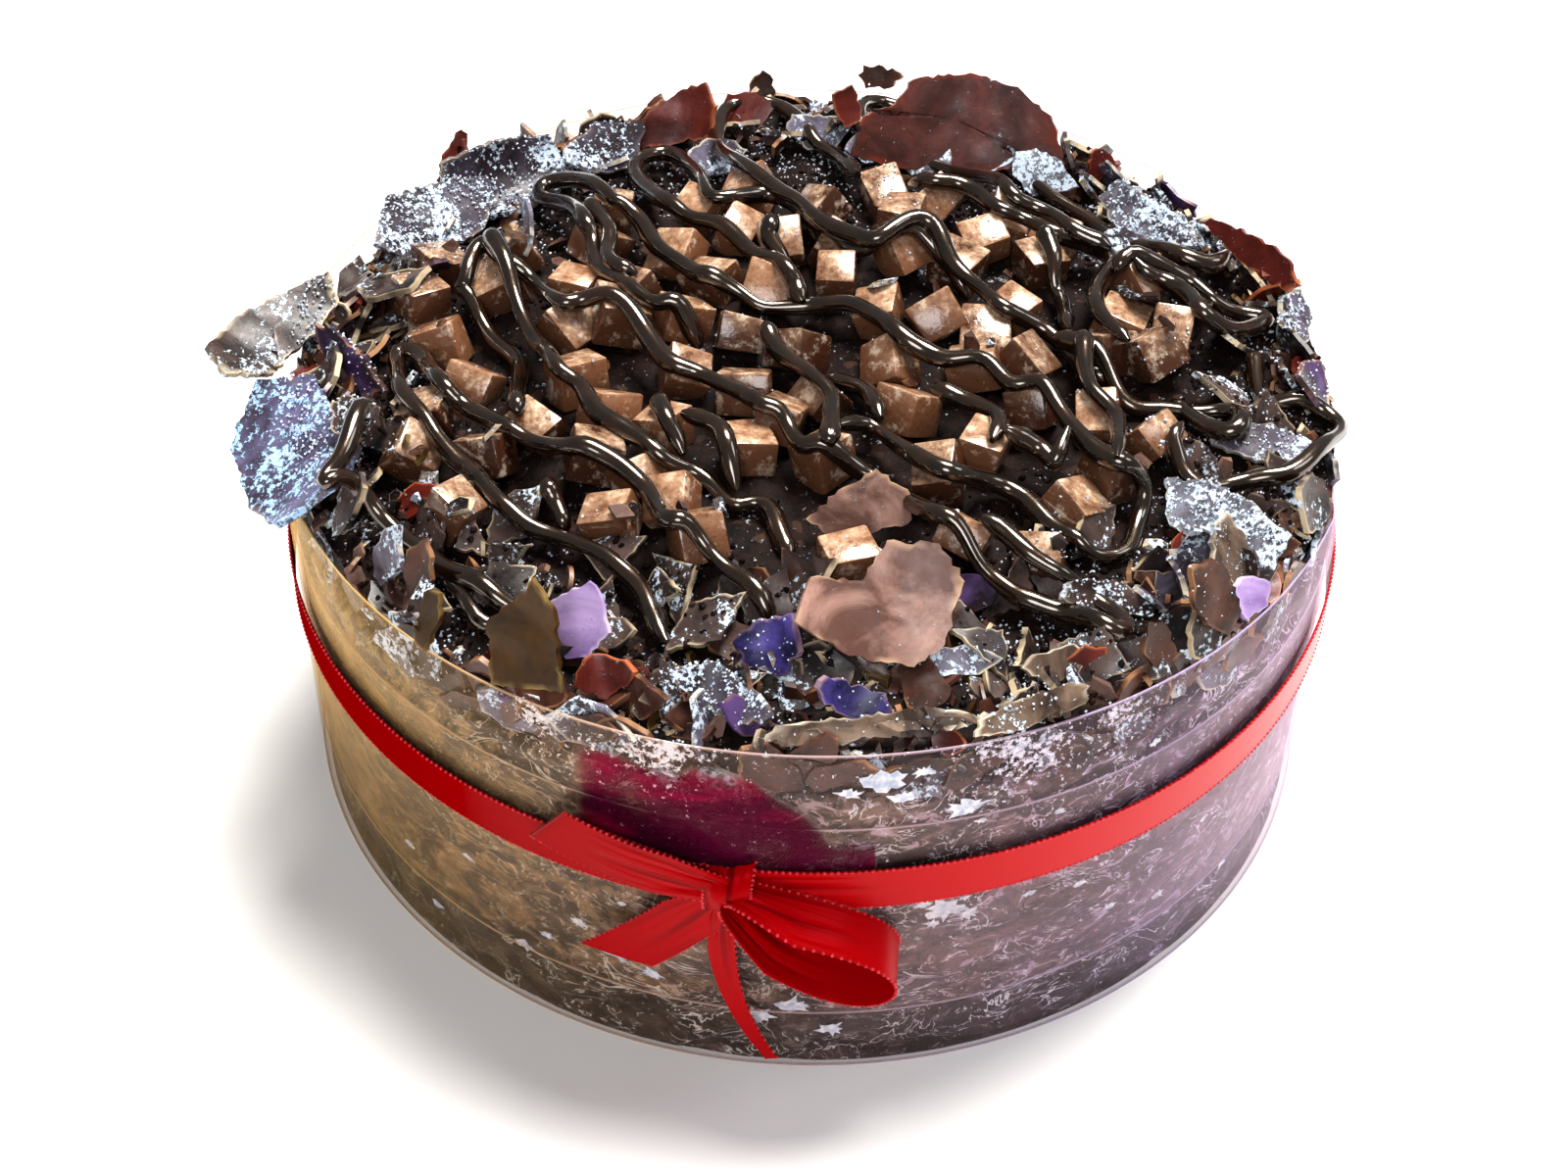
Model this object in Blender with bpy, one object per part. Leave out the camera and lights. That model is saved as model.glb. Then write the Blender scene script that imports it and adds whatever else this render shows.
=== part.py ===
"""Round chocolate cake in a clear collar, tied with a satin ribbon.

A shallow heap of chocolate cubes, broken shards and thick drizzle lies on top.
All sizes below are in millimetres; the objects are made in metres, +Z up, with the
origin at the centre of the flat underside and the bow on the -Y side.
"""
import math
import random

import bmesh
import bpy
from mathutils import Matrix, Vector, noise
from mathutils.bvhtree import BVHTree

MM = 0.001
GAP = 0.35
SIDES = 48

# Clear collar, and the narrower strip inside it that held the cake while it set
COLLAR_RADIUS = 100.0
COLLAR_HEIGHT = 80.0
COLLAR_WALL = 0.3
STRIP_BOTTOM = 14.0
STRIP_TOP = 62.0
STRIP_WALL = 0.2
STRIP_RADIUS = COLLAR_RADIUS - COLLAR_WALL - GAP

# Cake body: smooth behind the strip, rough below and above it
CAKE_RADIUS = STRIP_RADIUS - STRIP_WALL - GAP
CAKE_TOP = 68.0
ROUGH_DEPTH = 2.6
ROUGH_SPAN = 8.0

# Bare core of the heap
HEAP_FLOOR = CAKE_TOP + GAP
HEAP_RADIUS = 97.0
HEAP_EDGE = 77.0
HEAP_RISE = 6.5
HEAP_RINGS = 4
HEAP_SIDES = 28
LUMP = 1.6
LUMP_SPAN = 26.0

# Small pieces of the heap
CUBE_SIZE = 9.2
CUBE_SPACING = 10.2
CUBE_COUNT = 84
FLAKE_COUNT = 84
DRIZZLE_WIDTH = 3.6
DRIZZLE_STEP = 10.5
ROUTE_STEP = 1.5
SHARPEST_BEND = math.radians(48)
SHARD_THICKNESS = 1.3

# Ribbon and bow
RIBBON_WIDTH = 9.0
RIBBON_HEIGHT = 48.5
RIBBON_THICKNESS = 0.5
BOW_ANGLE = -7.7
KNOT_SIZE = (8.0, 9.6, 3.8)
GATHER = 0.5
GATHER_REACH = 0.36

# The toppings are placed as they look from EYE, laid out on the level SEEN_LEVEL
EYE = Vector((-5.0, -380.0, 372.0))
SEEN_LEVEL = 88.0

# Seen centre, length, width, facing, tilt, turn, bend radius
# Facing 0 looks along -Y and +90 along +X; tilt 0 lies flat and 90 stands upright
SHARDS = {
    "shard_back_fan": ((29, 77), 46, 20, 4, 60, 0, 55),
    "shard_back_chip": ((13, 86), 11, 6, -20, 62, 10, 0),
    "shard_back_upright": ((6, 66), 7, 9, 10, 64, 12, 0),
    "shard_back_peak": ((-28, 76), 20, 15, -8, 60, 0, 22),
    "shard_back_spike": ((-11, 86), 6, 9, 5, 66, -8, 0),
    "shard_tail_leaf": ((-72, 60), 10, 14, -20, 66, 0, 12),
    "shard_left_curl": ((-63, 55), 19, 36, 34, 44, 90, 9),
    "shard_left_drift": ((-43, 63), 22, 12, 24, 40, 0, 34),
    "shard_left_bank": ((-75, 38), 38, 17, 48, 34, 0, 46),
    "shard_left_blade": ((-101, 1), 33, 13, 56, 26, 0, 60),
    "shard_left_cloud": ((-91, -36), 41, 22, -66, 28, 2, 36),
    "shard_left_upright": ((-86, -9), 25, 8, -50, 70, -3, 0),
    "shard_left_chip": ((-82, -26), 14, 9, -50, 44, 20, 24),
    "shard_front_tan": ((-46, -84), 15, 18, -24, 66, 8, 50),
    "shard_front_sliver": ((-63, -78), 5, 13, -40, 66, 0, 0),
    "shard_front_lilac": ((-39, -80), 14, 13, -16, 58, -8, 40),
    "shard_front_curl": ((-33, -90), 12, 8, -10, 54, 14, 7),
    "shard_front_snow": ((-15, -94), 19, 8, -8, 44, -24, 18),
    "shard_front_plum": ((-7, -83), 12, 12, -16, 56, 14, 9),
    "shard_front_fan": ((10, -75), 29, 20, 6, 46, 14, 55),
    "shard_front_back": ((9, -49), 20, 13, 8, 58, 8, 0),
    "shard_front_night": ((6, -89), 16, 6, 10, 50, -26, 12),
    "shard_front_long": ((8, -98), 44, 5, 4, 50, 4, 0),
    "shard_front_base": ((35, -96), 26, 6, 18, 50, 8, 0),
    "shard_right_flake": ((48, -70), 22, 7, 36, 46, -30, 26),
    "shard_right_tall": ((66, -70), 9, 17, 40, 66, 22, 30),
    "shard_right_snow": ((70, -50), 27, 12, -38, 34, 0, 50),
    "shard_right_loop": ((80, -30), 20, 10, -12, 26, 0, 0),
    "shard_right_edge": ((91, -12), 13, 12, 76, 48, 0, 14),
    "shard_right_dust": ((90, 7), 15, 10, 70, 40, 20, 20),
    "shard_rim_blade": ((84, 30), 30, 7, -55, 62, 0, 0),
    "shard_back_snow": ((66, 44), 30, 14, -44, 42, 0, 40),
    "shard_back_fin": ((58, 60), 8, 9, 24, 64, 20, 0),
}

# Corners, in millimetres, of the shards whose outline stands out
OUTLINES = {
    "shard_back_fan": ((-23, -7), (-20, 1), (-13, 3), (-9, 8), (3, 9), (13, 6),
                       (20, 0), (23, -10), (4, -11), (-12, -10)),
    "shard_front_fan": ((-14, 2), (-9, 8), (-1, 5), (5, 10), (13, 7), (15, 0),
                        (9, -9), (3, -11), (-7, -6)),
    "shard_back_peak": ((-12, -7), (-7, 1), (0, 6), (5, 8), (8, 3), (8, -3), (-2, -6)),
    "shard_tail_leaf": ((-4, -6), (-5, 0), (-3, 5), (-1, 8), (1, 4), (4, 1), (5, -5)),
    "shard_left_cloud": ((-20, 2), (-14, 11), (1, 10), (9, 12), (20, 5), (17, -7),
                         (3, -11), (-12, -9)),
    "shard_left_blade": ((-17, -3), (-15, 4), (-3, 6), (9, 4), (17, 2), (14, -4), (2, -6), (-9, -7)),
    "shard_front_tan": ((-6, -9), (-7, 2), (-2, 6), (1, 10), (5, 5), (7, -8)),
    "shard_front_lilac": ((-7, 0), (-3, 3), (1, 7), (4, 5), (7, 0), (5, -5), (1, -7)),
    "shard_right_snow": ((-13, 2), (-6, 6), (4, 5), (12, 3), (13, -4), (2, -6), (-9, -4)),
}

# Places, as seen, of the cubes that stand out
CUBES = ((-86, 6), (-75, 14), (-70, 2), (-46, 20), (-46, 7), (-44, -8), (-62, -48),
         (-50, -23), (-39, -32), (-31, -36), (-25, -42), (-35, -49), (-24, -6), (-12, -28),
         (-6, -20), (-20, 24), (-27, 31), (4, 23), (12, 13), (28, 30), (38, 15), (58, 12),
         (67, 8), (63, 0), (39, -4), (17, -16), (60, -25), (30, -28), (38, -57), (14, 55),
         (-4, -47), (45, -43))

# Routes, as seen, of the drizzle: long zigzags first, then the short crossing strands
DRIZZLE = (
    ((-76, -31), (-85, -43), (-74, -54), (-58, -66), (-46, -75), (-54, -76), (-62, -67)),
    ((-24, -77), (-36, -61), (-50, -54), (-64, -33), (-74, -19), (-77, -6), (-73, -5),
     (-65, -19), (-45, -36), (-32, -42), (-22, -57), (-6, -72)),
    ((-53, -24), (-55, -9), (-63, 3), (-67, 17), (-64, 28), (-58, 21), (-44, 5), (-27, -9),
     (-8, -22), (0, -36), (20, -51), (35, -67), (50, -78), (46, -70), (36, -59), (27, -55)),
    ((-61, 18), (-56, 5), (-44, -14), (-36, -27), (-19, -35), (-8, -49), (-4, -63)),
    ((-21, 0), (-31, 10), (-41, 22), (-46, 38), (-54, 44), (-53, 50), (-45, 50), (-36, 38),
     (-29, 26), (-12, 9), (6, 5), (24, -6), (34, -12), (44, -27), (56, -42), (54, -55),
     (49, -56), (41, -45), (30, -40), (20, -37), (10, -26), (3, -25)),
    ((-2, 11), (-6, 21), (-19, 33), (-34, 48), (-36, 55), (-30, 59), (-24, 54), (-20, 46),
     (-8, 46), (3, 34), (11, 23), (20, 22), (30, 12)),
    ((55, -5), (44, 4), (29, 16), (20, 28), (5, 35), (-10, 52), (-20, 66), (-18, 76),
     (-7, 77), (1, 66), (9, 55)),
    ((19, 52), (27, 52), (42, 39), (57, 27), (53, 14), (58, -1)),
    ((57, 30), (40, 47), (26, 57), (12, 65), (9, 75), (16, 78), (34, 64), (47, 48),
     (60, 37), (68, 30), (75, 25), (80, 27)),
    ((57, 23), (62, 28), (70, 21), (78, 12), (85, 8), (77, 5), (69, 17), (61, 23)),
    ((82, 2), (82, -12), (91, -19), (93, -27), (81, -37), (67, -37), (63, -29), (66, -24)),
    ((44, 2), (54, -3), (62, -13), (75, -19), (76, -25), (71, -26), (64, -17)),
    ((-9, 5), (-7, -4), (2, -15), (3, -26), (2, -35)),
    ((2, -7), (9, -13), (12, -24)),
    ((49, -2), (50, -15), (54, -24), (53, -34)),
    ((45, 37), (46, 20), (48, 4)),
    ((21, -15), (32, -22), (31, -31)),
    ((34, -26), (41, -29), (44, -38)),
    ((-29, -17), (-26, -26), (-23, -32)),
    ((-24, -23), (-17, -28), (-13, -38)),
    ((-49, -36), (-46, -44), (-42, -56)),
    ((-9, 39), (-9, 31), (-5, 23)),
    ((-45, 44), (-41, 34), (-39, 23), (-34, 19)),
)


def clear_scene():
    for obj in list(bpy.data.objects):
        bpy.data.objects.remove(obj, do_unlink=True)


def finish_colour(name, colour, roughness):
    """A plain material of one colour, given as linear red, green and blue."""
    made = bpy.data.materials.get(name) or bpy.data.materials.new(name)
    made.use_nodes = True
    shader = made.node_tree.nodes["Principled BSDF"]
    shader.inputs["Base Color"].default_value = (*colour, 1)
    shader.inputs["Roughness"].default_value = roughness
    shader.inputs["Metallic"].default_value = 0
    return made


def make_object(name, bm, finish):
    """Turn a shape in millimetres into an object in metres."""
    bmesh.ops.scale(bm, vec=(MM, MM, MM), verts=bm.verts)
    mesh = bpy.data.meshes.new(name)
    bm.to_mesh(mesh)
    bm.free()
    mesh.shade_smooth()
    mesh.set_sharp_from_angle(angle=math.radians(40))
    mesh.materials.append(finish)
    obj = bpy.data.objects.new(name, mesh)
    bpy.context.scene.collection.objects.link(obj)
    return obj


def turned(profile, closed=False, steps=SIDES):
    """Turn a profile of (radius, height) points about the vertical axis."""
    bm = bmesh.new()
    verts = [bm.verts.new((radius, 0, height)) for radius, height in profile]
    edges = [bm.edges.new(pair) for pair in zip(verts, verts[1:])]
    if closed:
        edges.append(bm.edges.new((verts[-1], verts[0])))
    bmesh.ops.spin(bm, geom=verts + edges, cent=(0, 0, 0), axis=(0, 0, 1),
                   angle=math.tau, steps=steps, use_merge=True)
    bmesh.ops.remove_doubles(bm, verts=bm.verts, dist=0.01)
    bmesh.ops.recalc_face_normals(bm, faces=bm.faces)
    return bm


def sleeve(radius, wall, bottom, top):
    """A thin tube with its outer radius, wall, bottom and top."""
    inner = radius - wall
    return turned(((radius, bottom), (radius, top), (inner, top), (inner, bottom)), closed=True)


def seen_to_real(seen, height):
    """The place at this height on the line from EYE to a place seen on SEEN_LEVEL."""
    target = Vector((seen[0], seen[1], SEEN_LEVEL))
    share = (EYE.z - height) / (EYE.z - SEEN_LEVEL)
    return EYE + (target - EYE) * share


def core_height(x, y):
    """Height of the bare heap core at a place."""
    dome = HEAP_EDGE + HEAP_RISE * (1 - (x * x + y * y) / HEAP_RADIUS ** 2)
    return dome + LUMP * noise.noise(Vector((x, y, 0)) / LUMP_SPAN)


def heap_place(seen, above):
    """The real place of something seen this far above the bare core."""
    height = SEEN_LEVEL
    for _ in range(4):
        place = seen_to_real(seen, height)
        height = core_height(place.x, place.y) + above
    return place


def make_cake():
    """The cake body, rough under and over the strip that smoothed its side."""
    levels = (0, 5, STRIP_BOTTOM, STRIP_TOP, 65.5)
    profile = [(0, 0)] + [(CAKE_RADIUS, level) for level in levels]
    profile += [(CAKE_RADIUS - 3, CAKE_TOP), (0, CAKE_TOP)]
    bm = turned(profile)
    for vert in bm.verts:
        reach = math.hypot(vert.co.x, vert.co.y)
        rough = vert.co.z < STRIP_BOTTOM - 1 or vert.co.z > STRIP_TOP + 1
        if reach > CAKE_RADIUS / 2 and rough:
            grain = noise.noise(vert.co / ROUGH_SPAN) + 0.5
            shrink = ROUGH_DEPTH * min(max(grain, 0), 1) / reach
            vert.co.x *= 1 - shrink
            vert.co.y *= 1 - shrink
    return bm


def make_core():
    """The bare core of the heap: a shallow, lumpy dome with a flat underside."""
    rings = HEAP_RINGS
    profile = [(0, HEAP_FLOOR), (HEAP_RADIUS, HEAP_FLOOR)]
    profile += [(HEAP_RADIUS * (rings - i) / rings, HEAP_EDGE) for i in range(rings + 1)]
    bm = turned(profile, steps=HEAP_SIDES)
    for vert in bm.verts:
        if vert.co.z > HEAP_FLOOR + 0.1:
            vert.co.z = core_height(vert.co.x, vert.co.y)
    return bm


def jagged_corners(length, width, seed):
    """Corners of a broken plate: a seeded, uneven ring of six or seven."""
    rng = random.Random(seed)
    count = rng.choice((6, 7))
    corners = []
    for i in range(count):
        angle = math.tau * (i + rng.uniform(-0.28, 0.28)) / count
        reach = rng.uniform(0.74, 1.08)
        corners.append((math.cos(angle) * reach * length / 2, math.sin(angle) * reach * width / 2))
    return corners


def plate(corners, bend, thickness):
    """A thin plate with these corners, flat or bent round an axis along its width."""
    count = len(corners)
    bm = bmesh.new()
    bmesh.ops.create_circle(bm, cap_ends=True, cap_tris=True, segments=count, radius=1)
    if bend:
        spokes = [edge for edge in bm.edges if min(v.co.length for v in edge.verts) < 0.5]
        bmesh.ops.subdivide_edges(bm, edges=spokes, cuts=1)
    for vert in bm.verts:
        share = vert.co.length
        step = round((math.atan2(-vert.co.x, vert.co.y) / math.tau + 1) * count)
        across, along = (share * reach for reach in corners[step % count])
        vert.co = (across, along, 0)
        if bend:
            angle = across / bend
            vert.co = (bend * math.sin(angle), along, bend * (1 - math.cos(angle)))
    bmesh.ops.triangulate(bm, faces=bm.faces)
    bmesh.ops.solidify(bm, geom=bm.faces[:], thickness=thickness)
    bmesh.ops.recalc_face_normals(bm, faces=bm.faces)
    return bm


def tree_of(bm, swell=0.0):
    """A search tree of a shape, swollen by a clearance."""
    bm.normal_update()
    copy = bm.copy()
    copy.normal_update()
    shifts = [vert.normal * swell for vert in copy.verts]
    for vert, shift in zip(copy.verts, shifts):
        vert.co += shift
    tree = BVHTree.FromBMesh(copy)
    copy.free()
    return tree


def touches(bm, trees, lift=0.0, swell=1.6 * GAP):
    """Whether a shape, lifted and swollen by its clearance, meets any of the trees."""
    copy = bm.copy()
    bmesh.ops.translate(copy, verts=copy.verts, vec=(0, 0, lift))
    own = tree_of(copy, swell)
    copy.free()
    return any(own.overlap(tree) for tree in trees)


def set_down(bm, trees):
    """Lower a shape from above until it rests, one clearance off what is under it."""
    lowest = min(vert.co.z for vert in bm.verts)
    lift = COLLAR_HEIGHT + 30 - lowest
    for step in (4.0, 0.5):
        while not touches(bm, trees, lift - step) and lowest + lift > HEAP_FLOOR + step:
            lift -= step
    bmesh.ops.translate(bm, verts=bm.verts, vec=(0, 0, lift))


def make_shards(trees):
    """The large shards, each laid in its place on the core, the collar and the others."""
    shards = {}
    for seed, (name, row) in enumerate(SHARDS.items()):
        seen, length, width, facing, tilt, turn, bend = row
        corners = OUTLINES.get(name) or jagged_corners(length, width, seed)
        turned_to = (Matrix.Rotation(math.radians(facing), 4, "Z")
                     @ Matrix.Rotation(math.radians(tilt), 4, "X")
                     @ Matrix.Rotation(math.radians(turn), 4, "Z"))
        height = SEEN_LEVEL
        for _ in range(3):
            bm = plate(corners, bend, SHARD_THICKNESS)
            place = seen_to_real(seen, height)
            bmesh.ops.transform(bm, matrix=Matrix.Translation(place) @ turned_to, verts=bm.verts)
            set_down(bm, trees)
            height = sum(vert.co.z for vert in bm.verts) / len(bm.verts)
        trees.append(tree_of(bm))
        shards[name] = bm
    return shards


def cube_places():
    """Real places of all the cubes: the ones that stand out, then a seeded fill."""
    rng = random.Random(5)
    places = [heap_place(seen, CUBE_SIZE * 0.8) for seen in CUBES]
    tries = 0
    while len(places) < CUBE_COUNT and tries < 6000:
        tries += 1
        seen = (rng.uniform(-84, 72), rng.uniform(-58, 54))
        if (seen[0] / 84) ** 2 + (seen[1] / 62) ** 2 > 1:
            continue
        place = heap_place(seen, CUBE_SIZE * 0.8)
        near = min((place.xy - other.xy).length for other in places)
        if near > CUBE_SPACING * rng.uniform(0.86, 1.04):
            places.append(place)
    return places


def make_cubes(shard_trees):
    """The cubes, tumbled, partly sunk in the core and clear of the shards."""
    rng = random.Random(11)
    cubes = []
    for place in cube_places():
        size = [CUBE_SIZE * rng.uniform(0.84, 1.1) for _ in range(3)]
        size[2] *= 0.86
        pose = (Matrix.Rotation(rng.uniform(0, math.tau), 4, "Z")
                @ Matrix.Rotation(math.radians(rng.gauss(0, 24)), 4, "X")
                @ Matrix.Rotation(math.radians(rng.gauss(0, 24)), 4, "Y")
                @ Matrix.Diagonal((*size, 1)))
        height = core_height(place.x, place.y) + CUBE_SIZE * rng.uniform(0.2, 0.52)
        bm = bmesh.new()
        bmesh.ops.create_cube(bm, size=1)
        bmesh.ops.transform(bm, matrix=pose, verts=bm.verts)
        bmesh.ops.translate(bm, verts=bm.verts, vec=(place.x, place.y, height))
        if touches(bm, shard_trees):
            bm.free()
            continue
        cubes.append(bm)
    return cubes


def make_flakes(trees):
    """Broken flakes that stand and lean between the cubes and the rim."""
    rng = random.Random(23)
    flakes = []
    tries = 0
    while len(flakes) < FLAKE_COUNT and tries < 12 * FLAKE_COUNT:
        tries += 1
        angle = tries * 2.39996
        front = max(-math.sin(angle), 0)
        reach = HEAP_RADIUS * (1 - rng.uniform(0.04, 0.2 + 0.16 * front))
        x, y = reach * math.cos(angle), reach * math.sin(angle)
        bm = bmesh.new()
        bmesh.ops.create_cone(bm, cap_ends=True, segments=rng.choice((3, 4)), radius1=0.6,
                              radius2=0.55, depth=1)
        size = Vector((rng.uniform(8, 15), rng.uniform(5, 9), SHARD_THICKNESS))
        bmesh.ops.scale(bm, vec=size, verts=bm.verts)
        pose = (Matrix.Translation((x, y, core_height(x, y) + rng.uniform(1.2, 3.5)))
                @ Matrix.Rotation(angle + math.pi / 2 + rng.uniform(-1.2, 1.2), 4, "Z")
                @ Matrix.Rotation(math.radians(rng.uniform(20, 75)), 4, "X")
                @ Matrix.Rotation(rng.uniform(0, math.tau), 4, "Z"))
        bmesh.ops.transform(bm, matrix=pose, verts=bm.verts)
        low = min(vert.co.z for vert in bm.verts)
        if low < HEAP_FLOOR + 0.2 or touches(bm, trees):
            bm.free()
            continue
        trees.append(tree_of(bm))
        flakes.append(bm)
    return flakes


def smooth_route(points, step):
    """Points a step apart along a smooth curve through hand-set ones, with a seeded sway."""
    rng = random.Random(len(points) * 31 + int(points[0][0]))
    sway = [rng.uniform(0, 9) for _ in range(2)]
    ends = [points[0], *points, points[-1]]
    fine = []
    for a, b, c, d in zip(ends, ends[1:], ends[2:], ends[3:]):
        for i in range(12):
            t = i / 12
            fine.append(Vector([0.5 * (2 * q + (r - p) * t + (2 * p - 5 * q + 4 * r - s) * t * t
                                       + (3 * q - p - 3 * r + s) * t ** 3)
                                for p, q, r, s in zip(a, b, c, d)]))
    fine.append(Vector(points[-1]))
    route, travel, due = [], 0.0, 0.0
    for here, ahead in zip(fine, fine[1:]):
        leg = (ahead - here).length
        while leg and due <= travel + leg:
            spot = here.lerp(ahead, (due - travel) / leg)
            side = Vector((here.y - ahead.y, ahead.x - here.x)).normalized()
            route.append(spot + side * 0.9 * math.sin(due / 2.4 + sway[0])
                         * math.sin(due / 9.1 + sway[1]))
            due += step
        travel += leg
    return route


def drape(route, trees):
    """Lay a route on what is under it: over the high spots, slack across the gaps."""
    places = [heap_place(seen, CUBE_SIZE * 0.9) for seen in route]
    tops = []
    for place in places:
        tallest = core_height(place.x, place.y)
        for tree in trees:
            hit = tree.ray_cast(Vector((place.x, place.y, 140)), Vector((0, 0, -1)))[0]
            if hit:
                tallest = max(tallest, hit.z)
        tops.append(tallest)
    over = [max(tops[max(i - 2, 0):i + 3]) for i in range(len(tops))]
    level = [sum(over[max(i - 2, 0):i + 3]) / len(over[max(i - 2, 0):i + 3])
             for i in range(len(over))]
    return [Vector((place.x, place.y, max(height, top) + DRIZZLE_WIDTH * 0.38))
            for place, height, top in zip(places, level, tops)]


def strand_mesh(points):
    """A strand of drizzle through these points, as a closed tube."""
    curve = bpy.data.curves.new("strand", "CURVE")
    curve.dimensions = "3D"
    curve.bevel_depth = DRIZZLE_WIDTH / 2
    curve.bevel_resolution = 0
    curve.use_fill_caps = True
    spline = curve.splines.new("POLY")
    spline.points.add(len(points) - 1)
    for point, place in zip(spline.points, points):
        point.co = (*place, 1)
    holder = bpy.data.objects.new("strand", curve)
    bm = bmesh.new()
    bm.from_mesh(holder.to_mesh())
    holder.to_mesh_clear()
    bpy.data.objects.remove(holder)
    bpy.data.curves.remove(curve)
    bmesh.ops.remove_doubles(bm, verts=bm.verts, dist=0.001)
    bmesh.ops.recalc_face_normals(bm, faces=bm.faces)
    return bm


def split_at_bends(run):
    """Cut a run of points where it turns sharply, so that no piece folds into itself."""
    pieces = [[run[0]]]
    for before, here, after in zip(run, run[1:], run[2:]):
        pieces[-1].append(here)
        if (here - before).angle(after - here) > SHARPEST_BEND:
            pieces.append([here])
    pieces[-1].append(run[-1])
    return pieces


def make_drizzle(under, shard_trees):
    """All the strands, broken off where a separate shard lies in their way."""
    every = round(DRIZZLE_STEP / ROUTE_STEP)
    clear = DRIZZLE_WIDTH / 2 + 2 * GAP
    strands = []
    for points in DRIZZLE:
        line = drape(smooth_route(points, ROUTE_STEP), under + shard_trees)
        free = [all(tree.find_nearest(spot, clear)[0] is None for tree in shard_trees)
                for spot in line]
        run = []
        for i in range(0, len(line), every):
            if all(free[max(i - every, 0):i + every + 1]):
                run.append(line[i])
            if (not free[i] or i + every >= len(line)) and run:
                if len(run) > 1:
                    strands += [strand_mesh(piece) for piece in split_at_bends(run)]
                run = []
    return [bm for bm in strands if not touches(bm, shard_trees, swell=GAP)]


def largest_body(bm):
    """Keep the largest connected body and drop scraps and sealed hollows."""
    left = set(bm.faces)
    bodies = []
    while left:
        body, queue = set(), [left.pop()]
        while queue:
            face = queue.pop()
            body.add(face)
            for edge in face.edges:
                for other in edge.link_faces:
                    if other in left:
                        left.remove(other)
                        queue.append(other)
        bodies.append(body)
    keep = max(bodies, key=len)
    scrap = [face for body in bodies if body is not keep for face in body]
    bmesh.ops.delete(bm, geom=scrap, context="FACES")


def fuse(name, base, pieces, finish):
    """Join pieces to a base with one union and keep the result as one body."""
    obj = make_object(name, base, finish)
    group = bpy.data.collections.new(name + "_pieces")
    for i, bm in enumerate(pieces):
        piece = make_object(f"{name}_piece_{i}", bm, finish)
        bpy.context.scene.collection.objects.unlink(piece)
        group.objects.link(piece)
    union = obj.modifiers.new("union", "BOOLEAN")
    union.operation = "UNION"
    union.operand_type = "COLLECTION"
    union.collection = group
    union.solver = "MANIFOLD"
    fused = bpy.data.meshes.new_from_object(obj.evaluated_get(bpy.context.evaluated_depsgraph_get()))
    obj.modifiers.clear()
    for piece in list(group.objects):
        bpy.data.objects.remove(piece, do_unlink=True)
    bpy.data.collections.remove(group)
    bm = bmesh.new()
    bm.from_mesh(fused)
    bmesh.ops.triangulate(bm, faces=bm.faces)
    largest_body(bm)
    bm.to_mesh(obj.data)
    bm.free()
    return obj


def wall_point(along, height, off):
    """A place beside the collar: along its wall from the knot, up, and off the wall."""
    angle = math.radians(BOW_ANGLE) + along / COLLAR_RADIUS
    reach = COLLAR_RADIUS + GAP + off
    return Vector((reach * math.sin(angle), -reach * math.cos(angle), height))


def ribbon_strip(path, width, heading, slant=0.0, taper=1.0, stand=0.0):
    """A flat strip along a path of (run, side, off) points, headed one way along the wall.

    The strip is gathered at the knot, narrows to taper times its width, has its far end
    cut at a slant, and stands off the wall on one edge by an angle.
    """
    lean = math.radians(stand)
    turn = math.radians(heading)
    ahead = Vector((math.cos(turn), math.sin(turn)))
    across = Vector((-ahead.y, ahead.x))
    reach = max(run for run, _, _ in path)
    bm = bmesh.new()
    bmesh.ops.create_grid(bm, x_segments=1, y_segments=len(path) - 1, size=1)
    for vert in bm.verts:
        edge = vert.co.x
        run, side, off = path[round((vert.co.y + 1) / 2 * (len(path) - 1))]
        share = run / reach
        spread = GATHER + (1 - GATHER) * min(share / GATHER_REACH, 1)
        half = width / 2 * spread * (1 + (taper - 1) * share)
        flat = ahead * (run + slant * share * edge)
        flat += across * (side + edge * half * math.cos(lean))
        vert.co = wall_point(flat.x, RIBBON_HEIGHT + flat.y, off + edge * half * math.sin(lean))
    bmesh.ops.triangulate(bm, faces=bm.faces)
    bmesh.ops.solidify(bm, geom=bm.faces[:], thickness=RIBBON_THICKNESS)
    bmesh.ops.recalc_face_normals(bm, faces=bm.faces)
    return bm


def flat_loop_path(length, lift, steps=5):
    """Out along the front layer of a pressed loop, round its end and back behind it."""
    start, rear = KNOT_SIZE[2] * 0.62, 1.2
    path = [(length * i / steps, 0.5, start + lift * math.sin(2.3 * i / steps))
            for i in range(steps + 1)]
    tip = path[-1][2]
    path.append((length + 1.6, 0.2, tip * 0.6 + rear * 0.4))
    for i in range(steps, -1, -1):
        share = i / steps
        path.append((length * share, -0.5, rear + tip * 0.25 * share * share))
    return path


def open_loop_path(length, opening, steps=12):
    """Round an open drop-shaped loop that stands out from the wall."""
    path = []
    for i in range(steps + 1):
        turn = math.tau * i / steps
        share = (1 - math.cos(turn)) / 2
        side = opening / 2 * math.sin(turn) * (0.35 + 0.65 * share) + math.cos(turn / 2)
        path.append((length * share, side, 2.4 + 2.7 * min(share / GATHER_REACH, 1)))
    return path


def tail_path(length, sway, lift, steps=6):
    """A tail that leaves the knot, sways to one side and lifts off the wall at its end."""
    path = []
    for i in range(steps + 1):
        share = i / steps
        path.append((length * share, sway * 4 * share * (1 - share), 1.2 + lift * share * share))
    return path


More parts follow.
